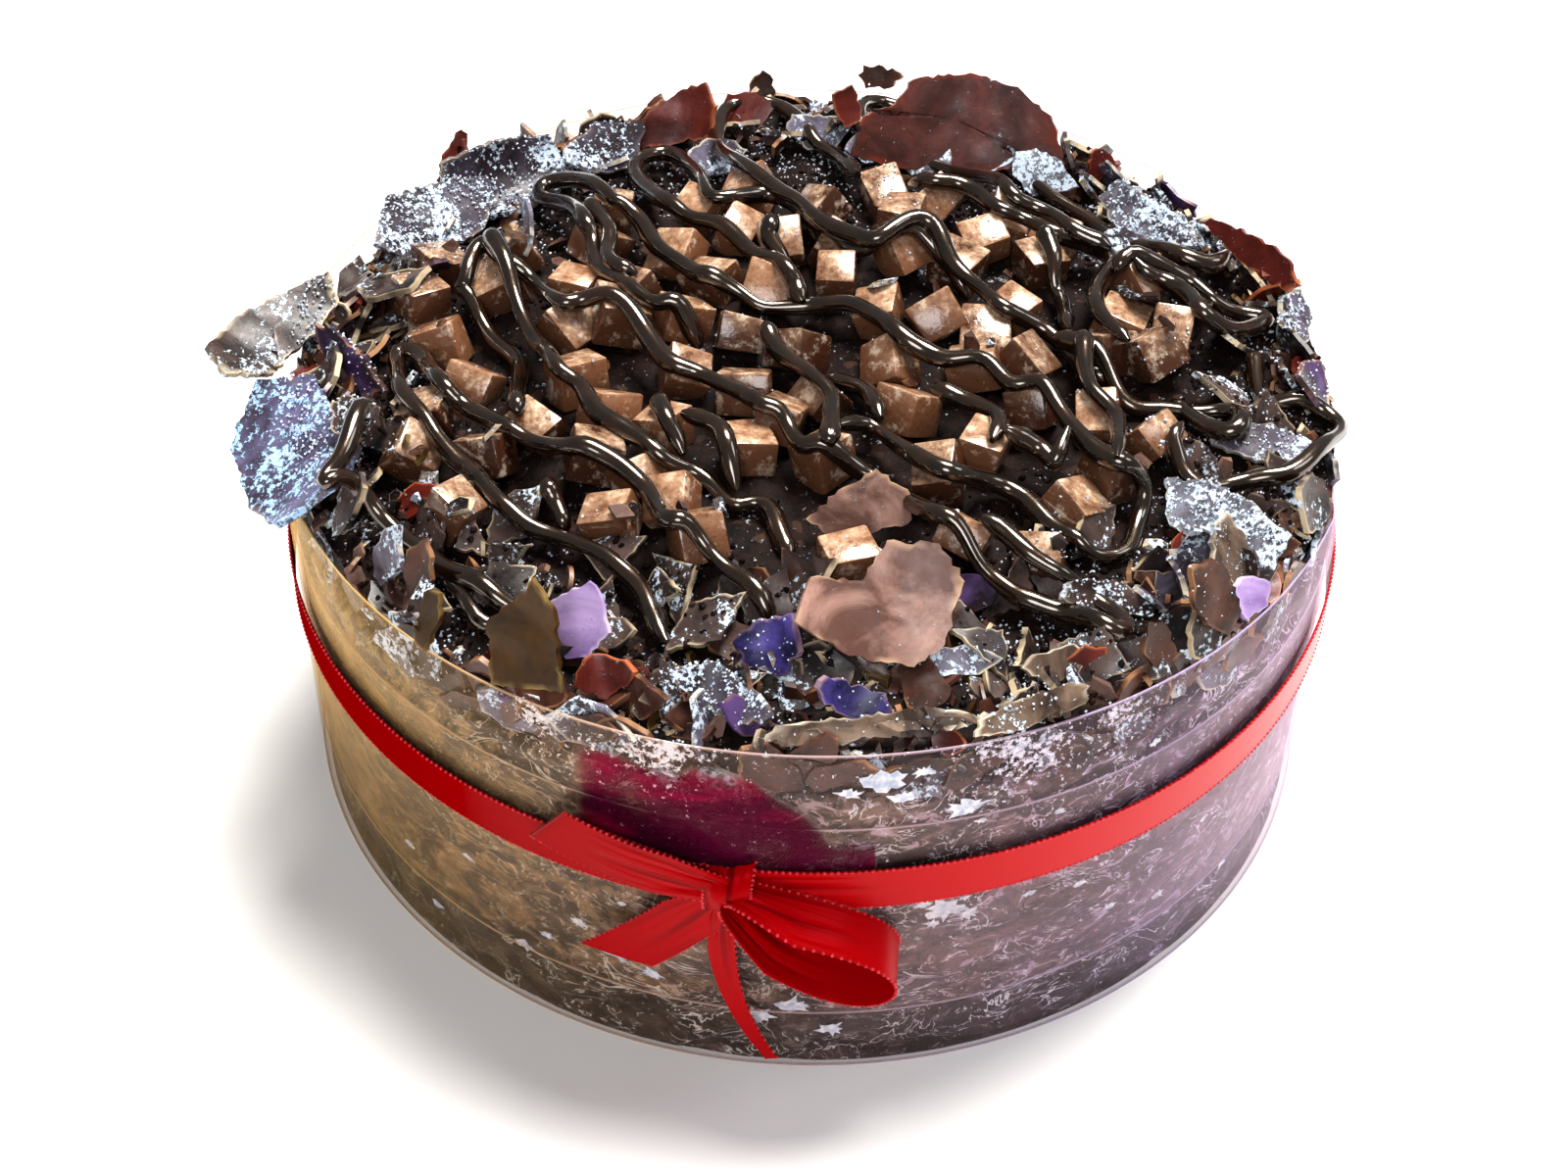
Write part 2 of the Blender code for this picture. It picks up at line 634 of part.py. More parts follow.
def make_knot():
    """The wrapped knot in the middle of the bow."""
    bm = bmesh.new()
    bmesh.ops.create_cube(bm, size=1)
    bmesh.ops.scale(bm, vec=KNOT_SIZE, verts=bm.verts)
    bmesh.ops.bevel(bm, geom=bm.edges[:], offset=KNOT_SIZE[2] * 0.3, segments=1, profile=0.5,
                    affect="EDGES", material=-1)
    middle = KNOT_SIZE[2] / 2
    for vert in bm.verts:
        vert.co = wall_point(vert.co.x, RIBBON_HEIGHT + vert.co.y, middle + 0.1 + vert.co.z)
    bmesh.ops.recalc_face_normals(bm, faces=bm.faces)
    return bm


def make_bow():
    """The knot, two loops and two tails, all of one flat ribbon."""
    wide = RIBBON_WIDTH + 1
    return [
        make_knot(),
        ribbon_strip(flat_loop_path(30, 2.0), wide, 167, slant=2.2),
        ribbon_strip(open_loop_path(32, 13), RIBBON_WIDTH, -31, stand=112),
        ribbon_strip(tail_path(29, 0.6, 1.2), wide, -132, slant=-4.0),
        ribbon_strip(tail_path(43, -4.2, 1.6), RIBBON_WIDTH * 0.7, -80, taper=0.3),
    ]


def build():
    clear_scene()
    sponge = finish_colour("chocolate_coat", (0.10, 0.045, 0.03), 0.5)
    film = finish_colour("clear_film", (0.80, 0.76, 0.72), 0.08)
    satin = finish_colour("red_satin", (0.60, 0.006, 0.012), 0.4)
    milk = finish_colour("milk_chocolate", (0.16, 0.065, 0.03), 0.42)
    broken = finish_colour("broken_chocolate", (0.085, 0.03, 0.022), 0.35)

    collar = sleeve(COLLAR_RADIUS, COLLAR_WALL, 0, COLLAR_HEIGHT)
    strip = sleeve(STRIP_RADIUS, STRIP_WALL, STRIP_BOTTOM, STRIP_TOP)
    core = make_core()
    core_tree, collar_tree = tree_of(core), tree_of(collar)

    shards = make_shards([core_tree, collar_tree])
    shard_trees = [tree_of(bm) for bm in shards.values()]
    cubes = make_cubes(shard_trees)
    under = [core_tree] + [tree_of(bm) for bm in cubes]
    flakes = make_flakes(shard_trees + [collar_tree])
    drizzle = make_drizzle(under, shard_trees)

    make_object("cake", make_cake(), sponge)
    make_object("film_collar", collar, film)
    make_object("inner_strip", strip, film)
    fuse("topping_heap", core, cubes + flakes + drizzle, milk)
    for name, bm in shards.items():
        make_object(name, bm, broken)
    band_bottom = RIBBON_HEIGHT - RIBBON_WIDTH / 2
    band = sleeve(COLLAR_RADIUS + GAP + RIBBON_THICKNESS, RIBBON_THICKNESS,
                  band_bottom, band_bottom + RIBBON_WIDTH)
    fuse("ribbon", band, make_bow(), satin)


build()
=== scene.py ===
"""Looks of a round chocolate cake in a clear collar, tied with a red satin ribbon.

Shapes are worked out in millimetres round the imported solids, and each finished piece is
put in metres. The bow is on the -Y side.
"""
import math
import random

import bmesh
import bpy
from mathutils import Matrix, Vector, noise
from mathutils.bvhtree import BVHTree
from mathutils.kdtree import KDTree


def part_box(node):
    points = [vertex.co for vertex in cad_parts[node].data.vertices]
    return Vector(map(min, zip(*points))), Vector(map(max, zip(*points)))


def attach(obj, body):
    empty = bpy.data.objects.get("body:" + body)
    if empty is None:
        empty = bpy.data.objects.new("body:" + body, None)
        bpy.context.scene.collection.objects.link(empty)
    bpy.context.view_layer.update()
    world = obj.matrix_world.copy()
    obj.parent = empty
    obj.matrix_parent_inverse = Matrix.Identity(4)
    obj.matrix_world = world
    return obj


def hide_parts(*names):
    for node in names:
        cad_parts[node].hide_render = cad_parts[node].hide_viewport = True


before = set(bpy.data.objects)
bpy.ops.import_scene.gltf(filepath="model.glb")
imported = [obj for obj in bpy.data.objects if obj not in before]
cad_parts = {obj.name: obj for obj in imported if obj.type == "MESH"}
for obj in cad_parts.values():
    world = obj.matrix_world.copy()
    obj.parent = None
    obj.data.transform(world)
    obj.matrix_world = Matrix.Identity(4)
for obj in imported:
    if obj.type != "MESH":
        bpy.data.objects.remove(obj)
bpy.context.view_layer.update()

MM = 0.001
GAP = 0.35

# Collar, strip and cake, as in the solids
COLLAR_RADIUS = 100.0
COLLAR_HEIGHT = 80.0
COLLAR_WALL = 0.3
STRIP_BOTTOM = 14.0
STRIP_TOP = 62.0
STRIP_WALL = 0.2
STRIP_RADIUS = COLLAR_RADIUS - COLLAR_WALL - GAP
CAKE_RADIUS = STRIP_RADIUS - STRIP_WALL - GAP
CAKE_TOP = 68.0
FILM_STEPS = 288

# Heap of toppings
HEAP_FLOOR = CAKE_TOP + GAP
HEAP_RADIUS = 97.0
HEAP_EDGE = 77.0
HEAP_RISE = 6.5
LUMP = 1.6
LUMP_SPAN = 26.0
CUBE_SIZE = 8.9
CUBE_SPACING = 10.2
CUBE_COUNT = 84
FLAKE_COUNT = 84
DRIZZLE_WIDTH = 3.4
ROUTE_STEP = 1.5
SHARD_THICKNESS = 1.3
CRUMB_COUNT = 2600
CLEARANCE = 1.6 * GAP
GOLDEN_ANGLE = 2.39996

# Ribbon and bow
RIBBON_WIDTH = 9.0
RIBBON_HEIGHT = 48.5
RIBBON_THICKNESS = 0.5
BOW_ANGLE = -7.7
KNOT_DEPTH = 3.8
KNOT_REACH = 5.2
GATHER = 0.5
GATHER_REACH = 0.36
PICOT_RADIUS = 0.34
PICOT_SPACING = 1.15

# The toppings are placed as they look from EYE, laid out on the level SEEN_LEVEL
EYE = Vector((-5.0, -380.0, 372.0))
SEEN_LEVEL = 88.0

# Camera: angles in radians, places in metres
CAMERA_PITCH, CAMERA_ROLL = 0.74027, 0.0148
CAMERA_BACK, CAMERA_RIGHT, CAMERA_UP = 0.53206, -0.00513, 0.01843
CAMERA_LENS = 58.5
SKY_STRENGTH, EXPOSURE, GAMMA = 0.2, 0.25, 0.87

# Suns: name, where it shines from, strength, spread and colour
SUNS = (
    ("key", (0.2, 0.4, 1.0), 5.0, 0.5, (1.0, 0.98, 0.94)),
    ("front", (-0.15, -1.0, 0.9), 1.15, 0.45, (0.96, 0.97, 1.0)),
    ("side", (0.9, 0.1, 0.9), 0.4, 0.35, (0.93, 0.95, 1.0)),
)

# Seen centre, length, width, facing, tilt, turn, bend radius, finish
SHARDS = {
    "shard_back_fan": ((29, 77), 46, 20, 4, 60, 0, 55, "mauve_rim"),
    "shard_back_chip": ((13, 86), 11, 6, -20, 62, 10, 0, "brown"),
    "shard_back_upright": ((6, 66), 7, 9, 10, 64, 12, 0, "russet"),
    "shard_back_peak": ((-28, 76), 20, 15, -8, 60, 0, 22, "russet"),
    "shard_back_spike": ((-11, 86), 6, 9, 5, 66, -8, 0, "brown"),
    "shard_tail_leaf": ((-72, 60), 10, 14, -20, 66, 0, 12, "russet"),
    "shard_left_curl": ((-63, 55), 19, 36, 34, 44, 90, 9, "snowy"),
    "shard_left_drift": ((-43, 63), 22, 12, 24, 40, 0, 34, "snowy"),
    "shard_left_bank": ((-75, 38), 38, 17, 48, 34, 0, 46, "snowy"),
    "shard_left_blade": ((-101, 1), 33, 13, 56, 26, 0, 60, "dusted"),
    "shard_left_cloud": ((-91, -36), 41, 22, -66, 28, 2, 36, "cloudy"),
    "shard_left_upright": ((-86, -9), 25, 8, -50, 70, -3, 0, "plum"),
    "shard_left_chip": ((-82, -26), 14, 9, -50, 44, 20, 24, "dusted"),
    "shard_front_tan": ((-46, -84), 15, 18, -24, 66, 8, 50, "tan"),
    "shard_front_sliver": ((-63, -78), 5, 13, -40, 66, 0, 0, "tan"),
    "shard_front_lilac": ((-39, -80), 14, 13, -16, 58, -8, 40, "lilac"),
    "shard_front_curl": ((-33, -90), 12, 8, -10, 54, 14, 7, "russet"),
    "shard_front_snow": ((-15, -94), 19, 8, -8, 44, -24, 18, "snowy"),
    "shard_front_plum": ((-7, -83), 12, 12, -16, 56, 14, 9, "violet"),
    "shard_front_fan": ((10, -75), 29, 20, 6, 46, 14, 55, "mauve"),
    "shard_front_back": ((9, -49), 20, 13, 8, 58, 8, 0, "mauve"),
    "shard_front_night": ((6, -89), 16, 6, 10, 50, -26, 12, "violet"),
    "shard_front_long": ((8, -98), 44, 5, 4, 50, 4, 0, "ragged"),
    "shard_front_base": ((35, -96), 26, 6, 18, 50, 8, 0, "ragged"),
    "shard_right_flake": ((48, -70), 22, 7, 36, 46, -30, 26, "dusted"),
    "shard_right_tall": ((66, -70), 9, 17, 40, 66, 22, 30, "brown"),
    "shard_right_snow": ((70, -50), 27, 12, -38, 34, 0, 50, "icy"),
    "shard_right_loop": ((80, -30), 20, 10, -12, 26, 0, 0, "frosted"),
    "shard_right_edge": ((91, -12), 13, 12, 76, 48, 0, 14, "plum"),
    "shard_right_dust": ((90, 7), 15, 10, 70, 40, 20, 20, "frosted"),
    "shard_rim_blade": ((84, 30), 30, 7, -55, 62, 0, 0, "russet"),
    "shard_back_snow": ((66, 44), 30, 14, -44, 42, 0, 40, "icy"),
    "shard_back_fin": ((58, 60), 8, 9, 24, 64, 20, 0, "russet"),
}

# Corners, in millimetres, of the shards whose outline stands out
OUTLINES = {
    "shard_back_fan": ((-23, -7), (-20, 1), (-13, 3), (-9, 8), (3, 9), (13, 6),
                       (20, 0), (23, -10), (4, -11), (-12, -10)),
    "shard_front_fan": ((-14, 2), (-9, 8), (-1, 5), (5, 10), (13, 7), (15, 0),
                        (9, -9), (3, -11), (-7, -6)),
    "shard_back_peak": ((-12, -7), (-7, 1), (0, 6), (5, 8), (8, 3), (8, -3), (-2, -6)),
    "shard_tail_leaf": ((-4, -6), (-5, 0), (-3, 5), (-1, 8), (1, 4), (4, 1), (5, -5)),
    "shard_left_cloud": ((-20, 2), (-14, 11), (1, 10), (9, 12), (20, 5), (17, -7),
                         (3, -11), (-12, -9)),
    "shard_left_blade": ((-17, -3), (-15, 4), (-3, 6), (9, 4), (17, 2), (14, -4), (2, -6), (-9, -7)),
    "shard_front_tan": ((-6, -9), (-7, 2), (-2, 6), (1, 10), (5, 5), (7, -8)),
    "shard_front_lilac": ((-7, 0), (-3, 3), (1, 7), (4, 5), (7, 0), (5, -5), (1, -7)),
    "shard_right_snow": ((-13, 2), (-6, 6), (4, 5), (12, 3), (13, -4), (2, -6), (-9, -4)),
}

# Places, as seen, of the cubes that stand out
CUBES = ((-86, 6), (-75, 14), (-70, 2), (-46, 20), (-46, 7), (-44, -8), (-62, -48),
         (-50, -23), (-39, -32), (-31, -36), (-25, -42), (-35, -49), (-24, -6), (-12, -28),
         (-6, -20), (-20, 24), (-27, 31), (4, 23), (12, 13), (28, 30), (38, 15), (58, 12),
         (67, 8), (63, 0), (39, -4), (17, -16), (60, -25), (30, -28), (38, -57), (14, 55),
         (-4, -47), (45, -43))

# Routes, as seen, of the drizzle: long zigzags first, then the short crossing strands
DRIZZLE = (
    ((-76, -31), (-85, -43), (-74, -54), (-58, -66), (-46, -75), (-54, -76), (-62, -67)),
    ((-24, -77), (-36, -61), (-50, -54), (-64, -33), (-74, -19), (-77, -6), (-73, -5),
     (-65, -19), (-45, -36), (-32, -42), (-22, -57), (-6, -72)),
    ((-53, -24), (-55, -9), (-63, 3), (-67, 17), (-64, 28), (-58, 21), (-44, 5), (-27, -9),
     (-8, -22), (0, -36), (20, -51), (35, -67), (50, -78), (46, -70), (36, -59), (27, -55)),
    ((-61, 18), (-56, 5), (-44, -14), (-36, -27), (-19, -35), (-8, -49), (-4, -63)),
    ((-21, 0), (-31, 10), (-41, 22), (-46, 38), (-54, 44), (-53, 50), (-45, 50), (-36, 38),
     (-29, 26), (-12, 9), (6, 5), (24, -6), (34, -12), (44, -27), (56, -42), (54, -55),
     (49, -56), (41, -45), (30, -40), (20, -37), (10, -26), (3, -25)),
    ((-2, 11), (-6, 21), (-19, 33), (-34, 48), (-36, 55), (-30, 59), (-24, 54), (-20, 46),
     (-8, 46), (3, 34), (11, 23), (20, 22), (30, 12)),
    ((55, -5), (44, 4), (29, 16), (20, 28), (5, 35), (-10, 52), (-20, 66), (-18, 76),
     (-7, 77), (1, 66), (9, 55)),
    ((19, 52), (27, 52), (42, 39), (57, 27), (53, 14), (58, -1)),
    ((57, 30), (40, 47), (26, 57), (12, 65), (9, 75), (16, 78), (34, 64), (47, 48),
     (60, 37), (68, 30), (75, 25), (80, 27)),
    ((57, 23), (62, 28), (70, 21), (78, 12), (85, 8), (77, 5), (69, 17), (61, 23)),
    ((82, 2), (82, -12), (91, -19), (93, -27), (81, -37), (67, -37), (63, -29), (66, -24)),
    ((44, 2), (54, -3), (62, -13), (75, -19), (76, -25), (71, -26), (64, -17)),
    ((-9, 5), (-7, -4), (2, -15), (3, -26), (2, -35)),
    ((2, -7), (9, -13), (12, -24)),
    ((49, -2), (50, -15), (54, -24), (53, -34)),
    ((45, 37), (46, 20), (48, 4)),
    ((21, -15), (32, -22), (31, -31)),
    ((34, -26), (41, -29), (44, -38)),
    ((-29, -17), (-26, -26), (-23, -32)),
    ((-24, -23), (-17, -28), (-13, -38)),
    ((-49, -36), (-46, -44), (-42, -56)),
    ((-9, 39), (-9, 31), (-5, 23)),
    ((-45, 44), (-41, 34), (-39, 23), (-34, 19)),
)

# Finishes of the shards that no sugar fell on
CLEAN = ("mauve", "mauve_rim", "russet", "tan", "lilac")

# Small plates that stand out: seen centre, length, width, facing, tilt, finish
SMALL_PLATES = (
    ((9, -62), 9, 6, 12, 38, "icy"), ((72, -70), 10, 9, 50, 60, "lilac"),
    ((26, -70), 10, 8, 24, 52, "plum"), ((64, -78), 9, 12, 38, 66, "dusted"),
    ((56, -82), 7, 12, 30, 70, "brown"), ((40, -86), 16, 6, 20, 44, "ragged"),
    ((-26, -92), 14, 7, -12, 48, "russet"), ((-72, -62), 8, 13, -46, 66, "frosted"),
    ((-80, -50), 8, 14, -58, 62, "dusted"), ((-66, -66), 7, 12, -40, 70, "brown"),
    ((22, -86), 16, 6, 6, 40, "frosted"), ((-4, -88), 12, 5, -6, 46, "frosted"),
    ((70, -58), 10, 14, 44, 58, "ragged"), ((86, -46), 12, 12, 62, 64, "dusted"),
    ((0, 70), 16, 10, 6, 46, "frosted"), ((22, 62), 14, 9, -8, 40, "icy"),
    ((46, 56), 15, 10, -20, 46, "icy"), ((-14, 78), 12, 9, 10, 56, "russet"),
    ((34, 63), 20, 11, -16, 42, "icy"), ((12, 66), 14, 9, 0, 40, "frosted"),
    ((22, 42), 11, 8, 10, 40, "icy"), ((43, 32), 11, 8, -10, 36, "frosted"),
    ((-20, 60), 14, 9, 14, 40, "frosted"), ((60, 32), 12, 8, -30, 40, "frosted"),
)

# Drifts of icing sugar on the heap: seen centre, reach and number of grains
DRIFTS = (
    ((-92, -30), 24, 1500), ((-72, 44), 28, 1500), ((-48, 62), 20, 500), ((-96, 2), 16, 500),
    ((68, 42), 26, 900), ((88, 8), 14, 300), ((76, -44), 24, 900), ((48, -74), 26, 700),
    ((-60, -72), 22, 500), ((-18, -92), 16, 500), ((28, -88), 26, 600), ((0, 76), 26, 300),
    ((-8, 64), 30, 800), ((34, 62), 30, 700), ((82, -20), 22, 700), ((-86, 20), 20, 500),
    ((0, 0), 96, 260),
)

# Pale flecks behind the film: angle round the cake from the front, height, size
FLECKS = (
    (6.5, 73, 10), (8.5, 68.5, 5), (3.5, 70, 4), (10.5, 74, 4), (15, 64, 6), (16.5, 60, 1.8),
    (13.8, 38.7, 8), (11.3, 41, 3.2), (16, 36.6, 4), (12.4, 35.6, 3), (15.5, 41, 2.2),
    (22.7, 37.8, 2.6), (28.5, 35.5, 2.6), (31, 42, 2), (25, 57, 2.2), (36, 64, 2.6), (20, 50, 1.8),
    (-1.5, 15.4, 7), (-5, 12.6, 6), (2.5, 9, 5), (8, 31, 2.4), (9, 45, 2), (5, 57, 2.6),
    (-3, 33, 2.4), (-20, 22, 5), (-16, 19, 4), (-24, 27, 3), (-28, 20, 3), (-31, 14, 4),
    (-19, 36, 2), (-38, 30, 2.4),
    (-48, 20, 3), (-44, 9, 3), (33, 25, 3), (40, 20, 3), (46, 33, 2.4), (52, 12, 3), (66, 40, 2.5),
    (95, 30, 4), (120, 50, 3), (150, 22, 5), (175, 40, 4), (-170, 60, 4), (-140, 25, 4),
    (-110, 44, 3), (-85, 18, 5), (-66, 50, 3),
)

# Flakes strewn over the heap: finish, number, shortest, longest, share in the middle
STREWN = (
    ("brown_plates", "brown", 120, 8, 17, 0.02),
    ("mauve_plates", "mauve", 36, 8, 15, 0.02),
    ("dusted_plates", "dusted", 90, 8, 17, 0.04),
    ("frosted_plates", "frosted", 44, 7, 15, 0.04),
    ("russet_plates", "russet", 26, 7, 13, 0.02),
    ("plum_plates", "plum", 30, 7, 14, 0.02),
    ("brown_chips", "brown", 420, 2.5, 6, 0.1),
    ("mauve_chips", "mauve", 160, 2.5, 6, 0.1),
    ("dusted_chips", "dusted", 260, 2.5, 6, 0.12),
    ("tan_chips", "tan", 70, 2, 5, 0.1),
)

# Flakes that stand against the film: finish, number, seed
PRESSED = (
    ("pressed_brown_flakes", "brown", 80, 61),
    ("pressed_dusted_flakes", "frosted", 62, 62),
)


def linear(code):
    """An sRGB hex colour as linear red, green, blue and alpha."""
    parts = [int(code[i:i + 2], 16) / 255 for i in (0, 2, 4)]
    return (*[c / 12.92 if c <= 0.04045 else ((c + 0.055) / 1.055) ** 2.4 for c in parts], 1)


def per_mm(size):
    """The scale of a pattern whose features are this many millimetres apart."""
    return 1 / (size * MM)


def add(tree, kind, inputs=None, **settings):
    """Add a node with its settings, and set or link its inputs."""
    node = tree.nodes.new("ShaderNode" + kind)
    for key, value in settings.items():
        setattr(node, key, value)
    fill(tree, node, inputs or {})
    return node


def new_finish(name):
    """A material with its tree, shader and a socket of object coordinates."""
    made = bpy.data.materials.new(name)
    made.use_nodes = True
    tree = made.node_tree
    place = add(tree, "TexCoord").outputs["Object"]
    return made, tree, tree.nodes["Principled BSDF"], place


def fill(tree, node, inputs):
    """Set or link the inputs of a node, with colours as hex codes."""
    for key, value in inputs.items():
        if isinstance(value, bpy.types.Node):
            value = value.outputs[0]
        if isinstance(value, bpy.types.NodeSocket):
            tree.links.new(value, node.inputs[key])
        else:
            node.inputs[key].default_value = linear(value) if isinstance(value, str) else value


def stain(tree, share, below, above):
    """Blend two colours by a share from 0 to 1."""
    return add(tree, "Mix", {0: share, 6: below, 7: above}, data_type="RGBA").outputs[2]


def between(tree, value, low, high, most=1.0, least=0.0):
    """Stretch the part of a pattern between two values to run from least to most."""
    return add(tree, "MapRange", {0: value, 1: low, 2: high, 3: least, 4: most})


def maths(tree, operation, *values):
    """One operation on numbers and patterns."""
    return add(tree, "Math", dict(enumerate(values)), operation=operation)


def times(tree, first, *others):
    """The product of patterns and numbers."""
    for other in others:
        first = maths(tree, "MULTIPLY", first, other)
    return first


def grain(tree, place, size, detail, roughness=0.5, distortion=0.0):
    """A cloudy pattern whose features are this many millimetres apart."""
    return add(tree, "TexNoise", {"Vector": place, "Scale": per_mm(size), "Detail": detail,
                                  "Roughness": roughness, "Distortion": distortion})


def relief(tree, strength, depth, height, under=None):
    """Relief this many millimetres deep, on top of another one if that is given."""
    bump = add(tree, "Bump", {"Strength": strength, "Distance": depth * MM, "Height": height})
    if under is not None:
        fill(tree, bump, {"Normal": under})
    return bump


def axis(tree, vector, name):
    """One of the three parts of a place or a direction."""
    return add(tree, "SeparateXYZ", {"Vector": vector}).outputs[name]


def carried(tree, name):
    """A value that the points of the shape carry."""
    return add(tree, "Attribute", attribute_name=name).outputs["Fac"]


def sugar_mask(tree, place, cover):
    """Icing sugar sifted over a surface: half-millimetre specks crowded into drifts."""
    specks = grain(tree, place, 1.1, 3, 0.75)
    drifts = grain(tree, place, 9, 4, 0.65)
    crowd = between(tree, drifts, 0.72 - 0.45 * cover, 0.92 - 0.36 * cover, 0.26)
    raised = maths(tree, "ADD", specks, crowd)
    return between(tree, raised, 0.66, 0.715)


def scribble(tree, place, size, width, cover):
    """Thin pale lines, curled and broken, as smeared chocolate leaves on a film."""
    field = grain(tree, place, size, 3, 0.6, 2.4)
    level = maths(tree, "ABSOLUTE", maths(tree, "SUBTRACT", field, 0.5))
    breaks = grain(tree, place, size * 0.8, 4)
    line = between(tree, level, width, width * 0.3)
    return times(tree, line, between(tree, breaks, 0.66 - 0.2 * cover, 0.72 - 0.2 * cover))


def side_tint(tree, place, left, right):
    """One colour on the left of the cake that turns to another on its right."""
    share = between(tree, axis(tree, place, "X"), -75 * MM, 60 * MM)
    return stain(tree, share, left, right)


def broken_chocolate(name, body, bloom_and_sheen, edge, dust=0.0, gloss=0.34, sugar_code="dceaf8"):
    """Dark chocolate, tempered, spread thin and snapped.

    It gives a satin sheen, cloudy patches that are partly bloom and partly a painted sheen, paler
    snapped edges that are partly wear and partly a painted highlight, and sifted icing sugar.
    """
    made, tree, shader, place = new_finish(name)
    clouds = grain(tree, place, 11, 5, 0.62, 0.6)
    scrape = grain(tree, place, 2.4, 3)
    rim = carried(tree, "rim")
    # Cloudy patches of the second colour: partly bloom, partly a painted bluish and purple sheen
    colour = stain(tree, between(tree, clouds, 0.4, 0.62), body, bloom_and_sheen)
    # Paler snapped rims: partly wear, partly a painted highlight where light catches the edges
    patchy = grain(tree, place, 8, 2)
    worn = times(tree, between(tree, rim, 0.88, 1.0), between(tree, patchy, 0.46, 0.6, 0.95))
    colour = stain(tree, worn, colour, edge)
    fine = maths(tree, "MULTIPLY_ADD", scrape, 0.5, gloss - 0.2)
    bump = relief(tree, 0.35, 0.3, scrape)
    if dust:
        sugar = sugar_mask(tree, place, dust)
        colour = stain(tree, times(tree, sugar, 0.92), colour, sugar_code)
        fine = maths(tree, "ADD", fine, times(tree, sugar, 0.5))
        bump = relief(tree, 0.9, 0.35, sugar, bump)
    fill(tree, shader, {"Base Color": colour, "Roughness": fine, "Normal": bump,
                        "Specular IOR Level": 0.36, "Coat Weight": 0.1, "Coat Roughness": 0.15})
    return made


def milk_cube_finish():
    """Milk chocolate, moulded in a sheet and cut to cubes: brown, with chalky rubbed faces that also
    carry painted highlights, and upward faces painted paler as light from above.
    """
    made, tree, shader, place = new_finish("milk_chocolate_cut")
    tone = carried(tree, "tone")
    rubs_and_highlights = grain(tree, place, 3.6, 6, 0.72)
    pits = grain(tree, place, 1.2, 2)
    up = axis(tree, add(tree, "NewGeometry").outputs["Normal"], "Z")
    # Painted light from above: faces that look upwards are paler, in patches that follow the rubs
    top = between(tree, up, 0.55, 0.95, 0.7)
    colour = stain(tree, tone, "48291a", "8c6044")
    colour = stain(tree, times(tree, top, between(tree, rubs_and_highlights, 0.36, 0.58)), colour, "d8b494")
    # Near-white patches: chalky rubs that also stand in for painted highlights
    colour = stain(tree, between(tree, rubs_and_highlights, 0.55, 0.64, 0.5), colour, "f0dcc6")
    colour = stain(tree, between(tree, pits, 0.6, 0.7, 0.4), colour, "3a1f12")
    bump = relief(tree, 0.4, 0.25, pits)
    fill(tree, shader, {"Base Color": colour, "Roughness": between(tree, rubs_and_highlights, 0.2, 0.9, 0.55),
                        "Normal": bump, "Coat Weight": 0.35, "Coat Roughness": 0.14, "IOR": 1.5})
    return made


def ganache_finish():
    """Dark ganache, poured warm: nearly black, with a wet gloss."""
    made, tree, shader, place = new_finish("poured_ganache")
    swirl = grain(tree, place, 6, 2)
    colour = stain(tree, between(tree, swirl, 0.35, 0.7), "0e0602", "2a160c")
    bump = relief(tree, 0.2, 0.5, swirl)
    fill(tree, shader, {"Base Color": colour, "Roughness": 0.22, "Normal": bump,
                        "Specular IOR Level": 0.75, "Specular Tint": "ffe4c4",
                        "Coat Weight": 1.0, "Coat Roughness": 0.05, "Coat IOR": 1.7})
    return made


def crumb_finish(name, dark, light, pale):
    """Crumbled chocolate cake: dull, with small paler crumbs."""
    made, tree, shader, place = new_finish(name)
    lumps = grain(tree, place, 4, 6, 0.75)
    crumbs = add(tree, "TexVoronoi", {"Vector": place, "Scale": per_mm(2.2)})
    colour = stain(tree, between(tree, lumps, 0.38, 0.66), dark, light)
    colour = stain(tree, between(tree, crumbs.outputs["Color"], 0.8, 0.9, 0.5), colour, pale)
    sugar = sugar_mask(tree, place, 0.35)
    colour = stain(tree, times(tree, sugar, 0.7), colour, "c9d0d8")
    bump = relief(tree, 0.9, 0.8, lumps)
    fill(tree, shader, {"Base Color": colour, "Roughness": 0.62, "Normal": bump,
                        "Specular IOR Level": 0.15})
    return made


